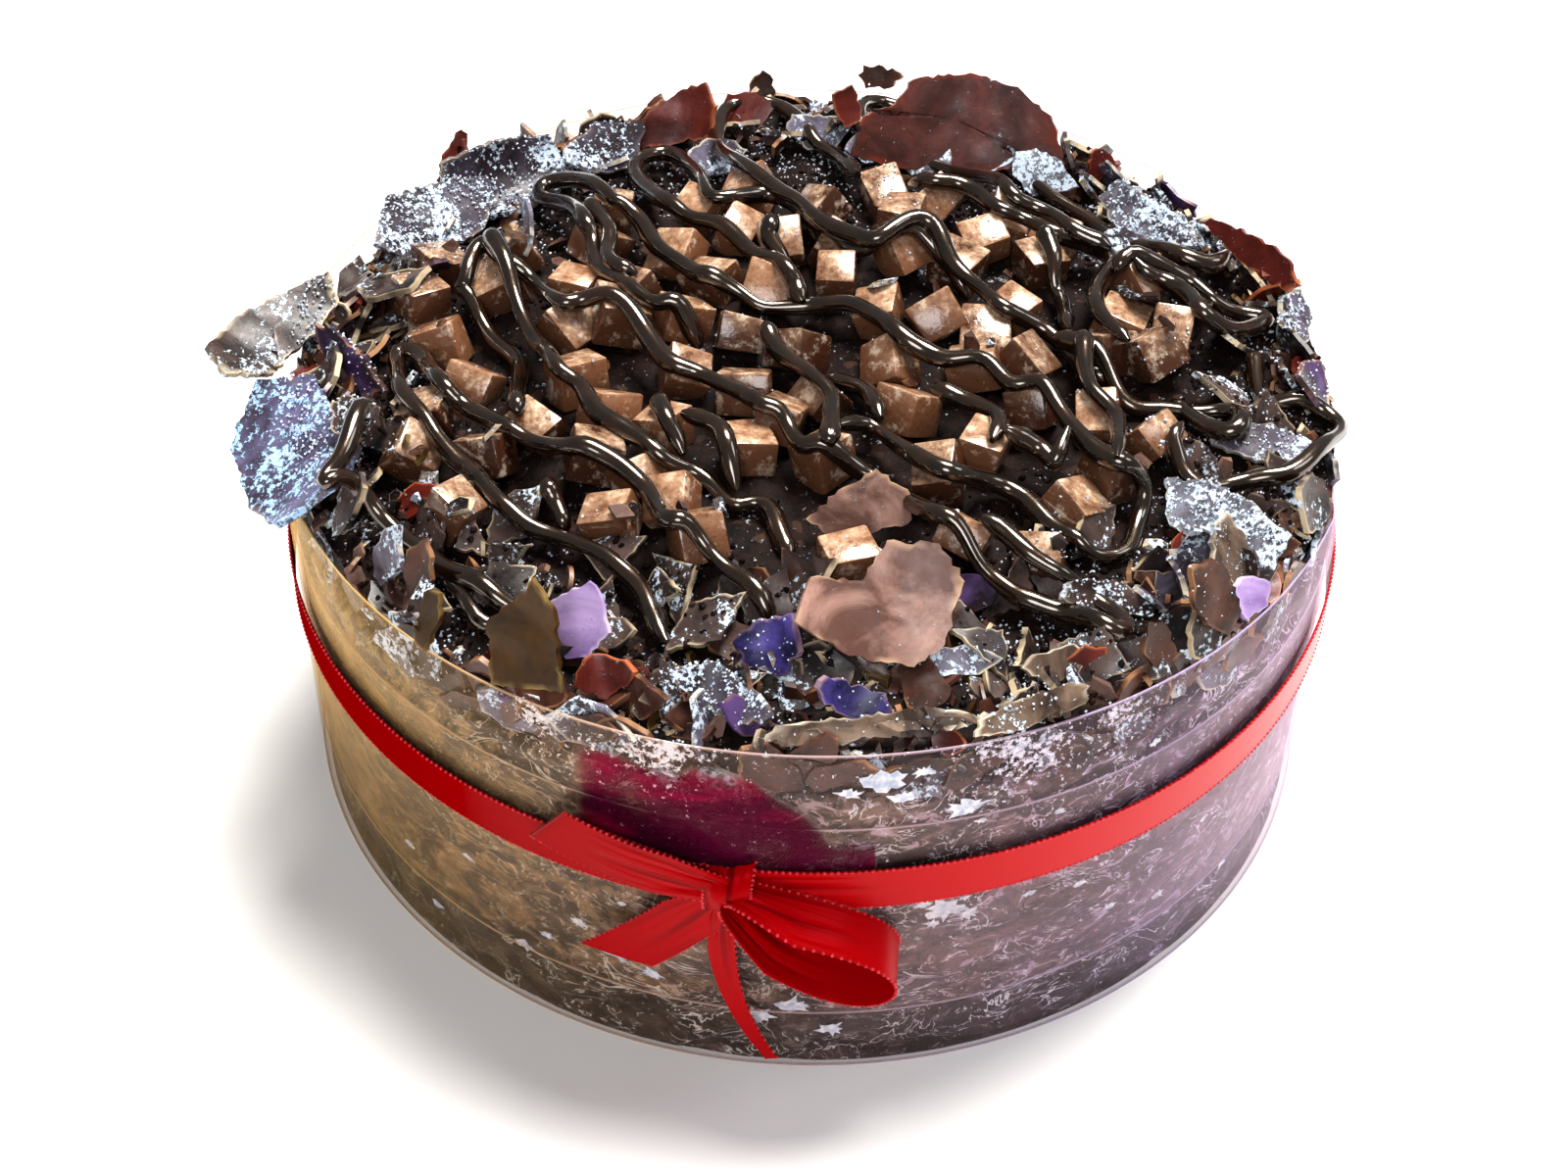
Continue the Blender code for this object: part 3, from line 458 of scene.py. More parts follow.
def coat_finish():
    """Chocolate coat, smoothed by the strip: mauve brown, streaked, scuffed and smeared, and tinted
    warm on the left and lilac on the right as a painted reflection.
    """
    made, tree, shader, place = new_finish("smoothed_chocolate_coat")
    drawn = add(tree, "Mapping", {"Vector": place, "Scale": (1, 1, 1.7)})
    smears = grain(tree, drawn, 20, 8, 0.72, 1.6)
    scuffs = grain(tree, drawn, 7, 6, 0.7, 1.8)
    # The left side is smoother than the rest
    wear = between(tree, axis(tree, place, "X"), -75 * MM, -25 * MM, 1.0, 0.4)
    # Painted reflection: here and in the scuffs and lines below, the colours turn from warm gold on
    # the left to lilac on the right
    deep = side_tint(tree, place, "40301c", "2a161a")
    light = side_tint(tree, place, "9a7a48", "644450")
    colour = stain(tree, between(tree, smears, 0.44, 0.58), deep, light)
    colour = stain(tree, times(tree, wear, between(tree, scuffs, 0.56, 0.61, 0.7)), colour,
                   side_tint(tree, place, "d2b678", "c2a6cc"))
    colour = stain(tree, times(tree, wear, between(tree, scuffs, 0.44, 0.4, 0.85)), colour,
                   "180c0a")
    height = axis(tree, place, "Z")
    foot = between(tree, height, (STRIP_BOTTOM + 1) * MM, (STRIP_BOTTOM - 1) * MM, 0.7)
    colour = stain(tree, foot, colour, "1e100c")
    wide = scribble(tree, drawn, 15, 0.016, 1.0)
    fine = scribble(tree, drawn, 7, 0.02, 0.5)
    lines = times(tree, maths(tree, "MAXIMUM", wide, fine), wear, 0.8)
    colour = stain(tree, lines, colour, side_tint(tree, place, "f0e6c4", "ece4fa"))
    bump = relief(tree, 0.4, 0.6, scuffs)
    fill(tree, shader, {"Base Color": colour, "Roughness": 0.45, "Normal": bump, "IOR": 1.48})
    return made


def film_finish(name, low, high, dust, bow_reflection_strength):
    """Clear cast film: see-through, hard gloss with a painted reflection tint, cut edges with a
    painted highlight, faint smears and sugar dust.

    The red over the bow is a painted reflection: the bow's mirror image, painted on the film as a
    tint.
    """
    made, tree, shader, place = new_finish(name)
    tree.nodes.remove(shader)
    across, height = axis(tree, place, "X"), axis(tree, place, "Z")
    drawn = add(tree, "Mapping", {"Vector": place, "Scale": (1, 1, 3)})
    smears = grain(tree, drawn, 60, 8, 0.62, 1.0)
    ripple = grain(tree, place, 60, 1)
    bump = relief(tree, 0.12, 1.5, ripple)
    facing = add(tree, "LayerWeight", {"Blend": 0.5, "Normal": bump}).outputs["Facing"]
    sheen = between(tree, maths(tree, "POWER", facing, 4.0), 0.0, 1.0, 0.28, 0.01)
    clear = add(tree, "BsdfTransparent", {"Color": "fcfbfb"})
    # Painted reflection: the gloss is tinted warm on the left and lilac on the right
    tint = side_tint(tree, place, "f0cc90", "e8d2e2")
    gloss = add(tree, "BsdfGlossy", {"Color": tint, "Roughness": 0.04, "Normal": bump})
    body = add(tree, "MixShader", {0: sheen, 1: clear, 2: gloss})

    specks = grain(tree, place, 1.1, 3, 0.7)
    clouds = grain(tree, place, 14, 4)
    # Sugar lies on the film to the left and to the right of the bow, near the rim
    aside = maths(tree, "ABSOLUTE", maths(tree, "SUBTRACT", across, 2 * MM))
    off_patch = maths(tree, "ABSOLUTE", maths(tree, "SUBTRACT", aside, 36 * MM))
    front = between(tree, axis(tree, place, "Y"), -20 * MM, -50 * MM)
    crowd = times(tree, between(tree, height, 60 * MM, 77 * MM),
                  between(tree, off_patch, 26 * MM, 10 * MM), front,
                  between(tree, clouds, 0.36, 0.62, 0.22))
    raised = maths(tree, "ADD", specks, crowd)
    grains = between(tree, raised, 0.66, 0.72, dust)

    share = maths(tree, "MAXIMUM", between(tree, smears, 0.4, 0.75, 0.06), grains)
    # Painted highlight: a pale line along the top and bottom cut edges of the film
    for end, inward in ((high, -MM), (low, MM)):
        edge = between(tree, height, end * MM + 0.5 * inward, end * MM + 0.2 * inward, 0.5)
        share = maths(tree, "MAXIMUM", share, edge)
    # The veil colour: near white where sugar lies, else tan on the left and lilac on the right as a
    # painted reflection
    shade = stain(tree, grains, side_tint(tree, place, "dcb878", "d0bce0"), "f2f0f8")
    if bow_reflection_strength:
        # Painted reflection of the bow: a ragged red patch on the film above it
        frayed = maths(tree, "MULTIPLY_ADD", clouds, 22 * MM, height)
        ceiling = between(tree, across, -8 * MM, 4 * MM, 71 * MM, 86 * MM)
        under = maths(tree, "SUBTRACT", ceiling, frayed)
        bow_reflection_mask = times(tree, between(tree, under, 0.0, 5 * MM), front,
                     between(tree, across, -40 * MM, -35 * MM),
                     between(tree, across, 11 * MM, 10.2 * MM),
                     between(tree, height, 50 * MM, 54 * MM, bow_reflection_strength),
                     between(tree, clouds, 0.24, 0.5))
        red = stain(tree, between(tree, smears, 0.44, 0.58), "5c0830", "b80c4a")
        solid = between(tree, bow_reflection_mask, 0.0, 0.25)
        shade = stain(tree, times(tree, solid, maths(tree, "SUBTRACT", 1.0, grains)), shade, red)
        share = maths(tree, "MAXIMUM", share, bow_reflection_mask)
    veil = add(tree, "BsdfDiffuse", {"Color": shade})
    mixed = add(tree, "MixShader", {0: share, 1: body, 2: veil})
    out = tree.nodes["Material Output"]
    tree.links.new(mixed.outputs[0], out.inputs["Surface"])
    return made


def satin_finish():
    """Polyester satin ribbon: saturated red, fine threads along it and a soft sheen, with painted
    shade on its left and in the folds near the knot.
    """
    made, tree, shader, place = new_finish("red_satin_weave")
    across = carried(tree, "across")
    along = carried(tree, "along")
    weave = add(tree, "CombineXYZ", {"X": times(tree, along, 0.08), "Y": across})
    # Threads drawn 0.4 mm apart, twice the real spacing, so that they show
    threads = add(tree, "TexNoise", {"Vector": weave, "Scale": 1 / 0.4, "Detail": 2.0})
    # Painted shade: the red is darker on the left of the cake and lighter on its right, where the
    # gloss is also stronger
    colour = side_tint(tree, place, "8c0002", "c0000a")
    sheen = between(tree, axis(tree, place, "X"), -60 * MM, 50 * MM, 0.6)
    colour = stain(tree, between(tree, threads, 0.52, 0.75, 0.1), colour, "e8102c")
    folds = add(tree, "TexNoise", {"Vector": weave, "Scale": 1 / 2.6, "Detail": 1.0})
    reach = add(tree, "VectorMath", {0: place, 1: wall_point(0, RIBBON_HEIGHT, 3) * MM},
                operation="DISTANCE").outputs["Value"]
    near = between(tree, reach, 26 * MM, 6 * MM)
    # Painted shade in the folds near the knot: the red darkens where the folds dip
    colour = stain(tree, times(tree, near, between(tree, folds, 0.5, 0.38, 0.7)), colour,
                   "4c0002")
    bump = relief(tree, 0.9, 2.4, times(tree, near, folds))
    bump = relief(tree, 0.3, 0.1, threads, bump)
    fill(tree, shader, {"Base Color": colour, "Roughness": 0.27, "Normal": bump,
                        "Specular IOR Level": sheen, "Specular Tint": "ff3444"})
    return made


def picot_finish():
    """Looped edge threads of the ribbon: lighter red, matt."""
    made, tree, shader, place = new_finish("red_edge_thread")
    twist = grain(tree, place, 0.8, 1)
    colour = stain(tree, between(tree, twist, 0.35, 0.65), "b00814", "e43848")
    fill(tree, shader, {"Base Color": colour, "Roughness": 0.5})
    return made


def sugar_finish(name, code):
    """Icing sugar in loose grains: matt and almost white."""
    made, tree, shader, place = new_finish(name)
    grit = grain(tree, place, 1.5, 2)
    colour = stain(tree, between(tree, grit, 0.35, 0.65), "b4c2d6", code)
    fill(tree, shader, {"Base Color": colour, "Roughness": 0.7})
    return made


def floor_finish():
    """Painted board: matt and nearly white."""
    made, tree, shader, place = new_finish("matt_white_board")
    cloud = grain(tree, place, 400, 2)
    colour = stain(tree, cloud, "f6f4f2", "faf9f8")
    fill(tree, shader, {"Base Color": colour, "Roughness": 0.8})
    return made


# Each finish: body colour, patch colour (partly bloom, partly painted sheen), rim colour (partly
# wear, partly painted highlight), sugar cover, gloss, and for some a sugar colour
FINISHES = {
    "brown": broken_chocolate("snapped_brown", "24110c", "5c382a", "a87c58", 0.12),
    "mauve": broken_chocolate("snapped_mauve", "68483e", "b48e80", "d4b090", 0.05, 0.36),
    "mauve_rim": broken_chocolate("snapped_mauve_rim", "4a2822", "723f38", "8a3a22", 0.04, 0.4),
    "russet": broken_chocolate("snapped_russet", "4e150c", "75281c", "b86a44", 0.04),
    "tan": broken_chocolate("snapped_tan", "2c1800", "503200", "947a48", 0.0, 0.5),
    "lilac": broken_chocolate("snapped_lilac", "9074ac", "ccb0e0", "dccae4", 0.1),
    "violet": broken_chocolate("snapped_violet", "1e1a44", "5c4ea4", "a88a98", 0.18, 0.3),
    "plum": broken_chocolate("snapped_plum", "24141f", "5c4474", "9a7468", 0.15, 0.3),
    "dusted": broken_chocolate("snapped_dusted", "1a0f0e", "5c4a44", "d8c4a4", 0.62),
    "frosted": broken_chocolate("snapped_frosted", "30242a", "787082", "e8dcc8", 0.8),
    "snowy": broken_chocolate("snapped_snowy", "2a1c24", "504856", "8a7a70", 0.74, 0.4),
    "icy": broken_chocolate("snapped_icy", "40343c", "8c8c98", "c8bcb0", 1.0, 0.4),
    "cloudy": broken_chocolate("snapped_cloudy", "3c3444", "6c6684", "7a6a70", 0.8, 0.4, "b4d4f4"),
    "ragged": broken_chocolate("snapped_ragged", "3a2820", "8a7462", "eee0c8", 0.55, 0.4),
}


def put_in(name, data):
    """A new object in the scene."""
    obj = bpy.data.objects.new(name, data)
    bpy.context.scene.collection.objects.link(obj)
    return obj


def piece(name, bm, finish, slot, *nodes, sharp=40):
    """Turn a shape in millimetres into a piece that stands for CAD nodes."""
    bmesh.ops.scale(bm, vec=(MM, MM, MM), verts=bm.verts)
    mesh = bpy.data.meshes.new(name)
    bm.to_mesh(mesh)
    bm.free()
    mesh.shade_smooth()
    mesh.set_sharp_from_angle(angle=math.radians(sharp))
    mesh.materials.append(finish)
    obj = put_in(name, mesh)
    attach(obj, "root")
    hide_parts(*nodes)


def topping(name, bm, finish, slot, sharp=30):
    """A piece of the heap."""
    piece(name, bm, finish, slot, "topping_heap", sharp=sharp)


def move(bm, pose):
    """Put a whole shape where a matrix says."""
    bmesh.ops.transform(bm, matrix=pose, verts=bm.verts)


def posed(place, *turns):
    """A matrix that turns about each axis by its angle, the last one first, then moves."""
    pose = Matrix.Translation(place)
    for about, angle in turns:
        pose = pose @ Matrix.Rotation(angle, 4, about)
    return pose


def press(vert, depth):
    """Move a point straight in towards the upright axis."""
    share = 1 - depth / math.hypot(vert.co.x, vert.co.y)
    vert.co.x *= share
    vert.co.y *= share


def keep_inside(bm, radius):
    """Pull the points past a radius back to it."""
    for vert in bm.verts:
        past = math.hypot(vert.co.x, vert.co.y) - radius
        if past > 0:
            press(vert, past)


def pour_in(big, small, tone=None):
    """Add a small shape to a big one, with one tone all over it if that is given."""
    if tone is not None:
        layer = small.verts.layers.float.get("tone") or small.verts.layers.float.new("tone")
        for vert in small.verts:
            vert[layer] = tone
    mesh = bpy.data.meshes.new("small")
    small.to_mesh(mesh)
    small.free()
    big.from_mesh(mesh)
    bpy.data.meshes.remove(mesh)


def heap_shape(*layers):
    """An empty shape with float layers on its points."""
    bm = bmesh.new()
    for layer in layers:
        bm.verts.layers.float.new(layer)
    return bm


def turned(profile, closed=False, steps=FILM_STEPS):
    """Turn a profile of (radius, height) points about the vertical axis."""
    bm = bmesh.new()
    verts = [bm.verts.new((radius, 0, height)) for radius, height in profile]
    edges = [bm.edges.new(pair) for pair in zip(verts, verts[1:])]
    if closed:
        edges.append(bm.edges.new((verts[-1], verts[0])))
    bmesh.ops.spin(bm, geom=verts + edges, cent=(0, 0, 0), axis=(0, 0, 1),
                   angle=math.tau, steps=steps, use_merge=True)
    bmesh.ops.remove_doubles(bm, verts=bm.verts, dist=0.005)
    bmesh.ops.recalc_face_normals(bm, faces=bm.faces)
    return bm


def spread(low, high, count):
    """Evenly spaced values from low to high."""
    return [low + (high - low) * i / (count - 1) for i in range(count)]


def seen_to_real(seen, height):
    """The place at this height on the line from EYE to a place seen on SEEN_LEVEL."""
    target = Vector((seen[0], seen[1], SEEN_LEVEL))
    share = (EYE.z - height) / (EYE.z - SEEN_LEVEL)
    return EYE + (target - EYE) * share


def core_height(x, y):
    """Height of the bare heap core at a place."""
    dome = HEAP_EDGE + HEAP_RISE * (1 - (x * x + y * y) / HEAP_RADIUS ** 2)
    return dome + LUMP * noise.noise(Vector((x, y, 0)) / LUMP_SPAN)


def heap_place(seen, above):
    """The real place of something seen this far above the bare core."""
    height = SEEN_LEVEL
    for _ in range(4):
        place = seen_to_real(seen, height)
        height = core_height(place.x, place.y) + above
    return place


def tree_of(bm, swell=0.0):
    """A search tree of a shape, swollen by a clearance."""
    copy = bm.copy()
    copy.normal_update()
    shifts = [vert.normal * swell for vert in copy.verts]
    for vert, shift in zip(copy.verts, shifts):
        vert.co += shift
    tree = BVHTree.FromBMesh(copy)
    copy.free()
    return tree


def node_tree(name):
    """A search tree, in millimetres, of a CAD node."""
    bm = bmesh.new()
    bm.from_mesh(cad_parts[name].data)
    bmesh.ops.remove_doubles(bm, verts=bm.verts, dist=0.001 * MM)
    bmesh.ops.scale(bm, vec=(1 / MM, 1 / MM, 1 / MM), verts=bm.verts)
    tree = BVHTree.FromBMesh(bm)
    bm.free()
    return tree


def top_at(trees, x, y, ceiling=150.0):
    """Height of the uppermost surface at a place, or None."""
    tops = [tree.ray_cast(Vector((x, y, ceiling)), Vector((0, 0, -1)))[0] for tree in trees]
    return max((top.z for top in tops if top), default=None)


def make_cake():
    """The cake body: pressed smooth behind the strip, rough under and over it."""
    levels = spread(0, STRIP_BOTTOM, 12) + spread(STRIP_BOTTOM + 1.5, STRIP_TOP, 32)
    levels += spread(STRIP_TOP + 1, CAKE_TOP - 1.5, 5)
    profile = [(0, 0), (CAKE_RADIUS * 0.5, 0), (CAKE_RADIUS - 4, 0)]
    profile += [(CAKE_RADIUS, level) for level in levels]
    profile += [(CAKE_RADIUS - 2, CAKE_TOP), (CAKE_RADIUS * 0.5, CAKE_TOP), (0, CAKE_TOP)]
    bm = turned(profile)
    for vert in bm.verts:
        if math.hypot(vert.co.x, vert.co.y) < CAKE_RADIUS - 1:
            continue
        if 1.5 < vert.co.z < STRIP_BOTTOM - 0.5 or vert.co.z > STRIP_TOP + 0.5:
            dent = 1.5 * max(noise.noise(vert.co / 8) + 0.3, 0)
            dent += 0.9 * abs(noise.noise(vert.co / 2.6))
        else:
            dent = 1.1 * max(noise.noise(vert.co / 13) - 0.28, 0)
            dent += 0.12 * abs(noise.noise(vert.co / 3))
        press(vert, dent)
    return bm


def make_core():
    """The bare core of the heap: a lumpy, crumbly dome."""
    rings = 62
    profile = [(0, HEAP_FLOOR), (HEAP_RADIUS * 0.6, HEAP_FLOOR)]
    profile += [(HEAP_RADIUS, level) for level in spread(HEAP_FLOOR, HEAP_EDGE, 7)]
    profile += [(HEAP_RADIUS * (rings - i) / rings, HEAP_EDGE) for i in range(1, rings + 1)]
    bm = turned(profile, steps=260)
    for vert in bm.verts:
        x, y, z = vert.co
        if z > HEAP_EDGE - 0.1:
            crumble = 1.5 * noise.noise(Vector((x, y, 9)) / 7)
            crumble += 0.9 * noise.noise(Vector((x, y, 3)) / 2.7)
            vert.co.z = core_height(x, y) + crumble - 0.6
        elif math.hypot(x, y) > HEAP_RADIUS - 1 and z > HEAP_FLOOR + 0.5:
            press(vert, 1.4 * abs(noise.noise(vert.co / 5)) + 0.7 * abs(noise.noise(vert.co / 2)))
    return bm


def plain_core():
    """The core as the solid has it, for placing the toppings."""
    rings = 4
    profile = [(0, HEAP_FLOOR), (HEAP_RADIUS, HEAP_FLOOR)]
    profile += [(HEAP_RADIUS * (rings - i) / rings, HEAP_EDGE) for i in range(rings + 1)]
    bm = turned(profile, steps=28)
    for vert in bm.verts:
        if vert.co.z > HEAP_FLOOR + 0.1:
            vert.co.z = core_height(vert.co.x, vert.co.y)
    return bm


def sleeve(radius, wall, bottom, top, rows=2):
    """A thin tube with its outer radius, wall, bottom and top."""
    profile = [(radius, z) for z in spread(bottom, top, rows)]
    profile += [(radius - wall, z) for z in spread(top, bottom, rows)]
    return turned(profile, closed=True)


def thicken(bm, thickness):
    """Give an open sheet a thickness, behind its front."""
    bmesh.ops.triangulate(bm, faces=bm.faces)
    bm.normal_update()
    made = bmesh.ops.extrude_face_region(bm, geom=bm.faces[:], use_keep_orig=True)
    for vert in made["geom"]:
        if isinstance(vert, bmesh.types.BMVert):
            vert.co -= vert.normal * thickness
    bmesh.ops.recalc_face_normals(bm, faces=bm.faces)


def jagged_corners(length, width, seed):
    """Corners of a broken plate: a seeded, uneven ring of six or seven."""
    rng = random.Random(seed)
    count = rng.choice((6, 7))
    corners = []
    for i in range(count):
        angle = math.tau * (i + rng.uniform(-0.28, 0.28)) / count
        reach = rng.uniform(0.74, 1.08)
        corners.append((math.cos(angle) * reach * length / 2, math.sin(angle) * reach * width / 2))
    return corners


def snapped_outline(corners, seed, step=1.1, bite=0.45):
    """The same outline with a broken line from each corner to the next."""
    rng = random.Random(seed)
    line = []
    for here, ahead in zip(corners, list(corners[1:]) + [corners[0]]):
        a, b = Vector(here), Vector(ahead)
        count = max(2, round((b - a).length / step))
        side = Vector((b.y - a.y, a.x - b.x)).normalized()
        for i in range(count):
            share = i / count
            jag = rng.uniform(-bite, bite) * (0.4 + 0.6 * math.sin(math.pi * share))
            if rng.random() < 0.08:
                jag *= 2.2
            line.append(a.lerp(b, share) + side * jag)
    return line


def plate(corners, bend, thickness, rings=1, wave=0.0, seed=0):
    """A thin plate with these corners, flat or bent round an axis along its width."""
    count = len(corners)
    bm = heap_shape("rim")
    rim = bm.verts.layers.float.get("rim")
    bmesh.ops.create_circle(bm, cap_ends=True, cap_tris=True, segments=count, radius=1)
    if rings > 1:
        spokes = [edge for edge in bm.edges if min(v.co.length for v in edge.verts) < 0.5]
        bmesh.ops.subdivide_edges(bm, edges=spokes, cuts=rings - 1)
    for vert in bm.verts:
        share = vert.co.length
        vert[rim] = share
        step = round((math.atan2(-vert.co.x, vert.co.y) / math.tau + 1) * count)
        across, along = (share * reach for reach in corners[step % count])
        lift = wave * noise.noise(Vector((across / 6, along / 6, seed * 7.3)))
        vert.co = (across, along, lift)
        if bend:
            angle = across / bend
            vert.co = (bend * math.sin(angle), along, lift + bend * (1 - math.cos(angle)))
    thicken(bm, thickness)
    return bm


def lowest_corner(points):
    """The least x, y and z among some points."""
    return Vector([min(point[i] for point in points) for i in range(3)])


def make_shard(seed, name):
    """A shard with snapped edges, where its solid is."""
    _, length, width, facing, tilt, turn, bend, _ = SHARDS[name]
    corners = OUTLINES.get(name) or jagged_corners(length, width, seed)
    pose = posed((0, 0, 0), ("Z", math.radians(facing)), ("X", math.radians(tilt)),
                 ("Z", math.radians(turn)))
    solid = plate(corners, bend, SHARD_THICKNESS, rings=2 if bend else 1)
    move(solid, pose)
    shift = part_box(name)[0] / MM - lowest_corner([vert.co for vert in solid.verts])
    solid.free()
    bm = plate(snapped_outline(corners, seed), bend, SHARD_THICKNESS * 0.85, rings=8,
               wave=0.45, seed=seed)
    move(bm, Matrix.Translation(shift) @ pose)
    return bm


def cube_places():
    """Real places of all the cubes: the ones that stand out, then a seeded fill."""
    rng = random.Random(5)
    places = [heap_place(seen, CUBE_SIZE * 0.8) for seen in CUBES]
    tries = 0
    while len(places) < CUBE_COUNT and tries < 6000:
        tries += 1
        seen = (rng.uniform(-84, 72), rng.uniform(-58, 54))
        if (seen[0] / 84) ** 2 + (seen[1] / 62) ** 2 > 1:
            continue
        place = heap_place(seen, CUBE_SIZE * 0.8)
        near = min((place.xy - other.xy).length for other in places)
        if near > CUBE_SPACING * rng.uniform(0.86, 1.04):
            places.append(place)
    return places


def claim(plain, size, pose, others, trees):
    """Add the search tree of a plain solid, unless it lies too low or too near another."""
    bmesh.ops.scale(plain, vec=size, verts=plain.verts)
    move(plain, pose)
    own = tree_of(plain, CLEARANCE)
    free = min(vert.co.z for vert in plain.verts) >= HEAP_FLOOR + 0.2
    free = free and not any(own.overlap(tree) for tree in others)
    if free:
        trees.append(tree_of(plain))
    plain.free()
    return free


def make_cubes(shard_trees):
    """The cubes with worn edges, tumbled and partly sunk, where the solid has them."""
    rng, tones = random.Random(11), random.Random(3)
    # Vector noise starts from the clock unless it is seeded
    noise.seed_set(6)
    heap = heap_shape("tone")
    trees = []
    for place in cube_places():
        size = [CUBE_SIZE * rng.uniform(0.84, 1.1) for _ in range(3)]
        size[2] *= 0.86
        tumble = posed((0, 0, 0), ("Z", rng.uniform(0, math.tau)),
                       ("X", math.radians(rng.gauss(0, 24))), ("Y", math.radians(rng.gauss(0, 24))))
        height = core_height(place.x, place.y) + CUBE_SIZE * rng.uniform(0.2, 0.52)
        pose = Matrix.Translation((place.x, place.y, height)) @ tumble
        plain = bmesh.new()
        bmesh.ops.create_cube(plain, size=1)
        if not claim(plain, size, pose, shard_trees, trees):
            continue
        bm = bmesh.new()
        bmesh.ops.create_cube(bm, size=1)
        bmesh.ops.scale(bm, vec=size, verts=bm.verts)
        for vert in bm.verts:
            vert.co += Vector([tones.uniform(-0.4, 0.4) for _ in range(3)])
        bmesh.ops.bevel(bm, geom=bm.edges[:], offset=0.6, segments=2, profile=0.5,
                        affect="EDGES", material=-1)
        move(bm, pose)
        for vert in bm.verts:
            vert.co += noise.noise_vector(vert.co / 3.5) * 0.18
        pour_in(heap, bm, tones.random())
    return heap, trees


def small_flake(size, rng):
    """A small plate with a few uneven corners, and a rim that takes the paler edge colour, partly a
    painted highlight.
    """
    bm = heap_shape("rim")
    rim = bm.verts.layers.float.get("rim")
    bmesh.ops.create_cone(bm, cap_ends=True, segments=rng.choice((4, 5, 6)), radius1=0.58,
                          radius2=0.5, depth=1)
    for vert in bm.verts:
        vert[rim] = 1
        vert.co.x *= rng.uniform(0.75, 1.2)
        vert.co.y *= rng.uniform(0.7, 1.25)
    caps = [face for face in bm.faces if abs(face.normal.z) > 0.9]
    for vert in bmesh.ops.poke(bm, faces=caps)["verts"]:
        vert[rim] = 0
    bmesh.ops.rotate(bm, matrix=Matrix.Rotation(rng.uniform(0, math.tau), 3, "Z"), verts=bm.verts)
    bmesh.ops.scale(bm, vec=size, verts=bm.verts)
    return bm


def broken_plate(length, rng):
    """A plate of this length, snapped all round and slightly bent."""
    width = length * rng.uniform(0.4, 0.85)
    corners = jagged_corners(length, width, rng.randrange(9999))
    ring = snapped_outline(corners, rng.randrange(9999), step=1.9, bite=0.32)
    bend = rng.choice((0, rng.uniform(0.7, 2.0) * length))
    return plate(ring, bend, rng.uniform(0.7, 1.1), rings=3, wave=0.8, seed=rng.randrange(99))


def make_flakes(shard_trees):
    """Broken flakes that stand and lean between the cubes and the rim."""
    rng = random.Random(23)
    heap = heap_shape("tone", "rim")
    trees = list(shard_trees)
    made = tries = 0
    while made < FLAKE_COUNT and tries < 12 * FLAKE_COUNT:
        tries += 1
        angle = tries * GOLDEN_ANGLE
        front = max(-math.sin(angle), 0)
        reach = HEAP_RADIUS * (1 - rng.uniform(0.04, 0.2 + 0.16 * front))
        x, y = reach * math.cos(angle), reach * math.sin(angle)
        sides = rng.choice((3, 4))
        size = Vector((rng.uniform(8, 15), rng.uniform(5, 9), SHARD_THICKNESS))
        pose = posed((x, y, core_height(x, y) + rng.uniform(1.2, 3.5)),
                     ("Z", angle + math.pi / 2 + rng.uniform(-1.2, 1.2)),
                     ("X", math.radians(rng.uniform(20, 75))), ("Z", rng.uniform(0, math.tau)))
        plain = bmesh.new()
        bmesh.ops.create_cone(plain, cap_ends=True, segments=sides, radius1=0.6, radius2=0.55,
                              depth=1)
        if not claim(plain, size, pose, trees, trees):
            continue
        made += 1
        turns = [math.tau * i / sides for i in range(sides)]
        ring = [(0.6 * size.x * math.sin(turn), 0.6 * size.y * math.cos(turn)) for turn in turns]
        bm = plate(snapped_outline(ring, tries, bite=0.35), 0, SHARD_THICKNESS * 0.8, rings=3,
                   wave=0.7, seed=tries)
        move(bm, pose)
        pour_in(heap, bm, random.Random(tries).random())
    return heap, trees[len(shard_trees):]


def small_plates(finish):
    """The small plates of one finish that stand out, leaning where they are seen."""
    heap = heap_shape("tone", "rim")
    for seed, (seen, length, width, facing, tilt, own) in enumerate(SMALL_PLATES):
        if own != finish:
            continue
        place = heap_place(seen, width * 0.42 * math.sin(math.radians(tilt)) + 1)
        ring = snapped_outline(jagged_corners(length, width, seed + 90), seed, bite=0.35)
        bm = plate(ring, length * 2.5, 1.0, rings=5, wave=0.4, seed=seed)
        move(bm, posed(place, ("Z", math.radians(facing)), ("X", math.radians(tilt))))
        keep_inside(bm, CAKE_RADIUS)
        pour_in(heap, bm, 0.5)
    return heap


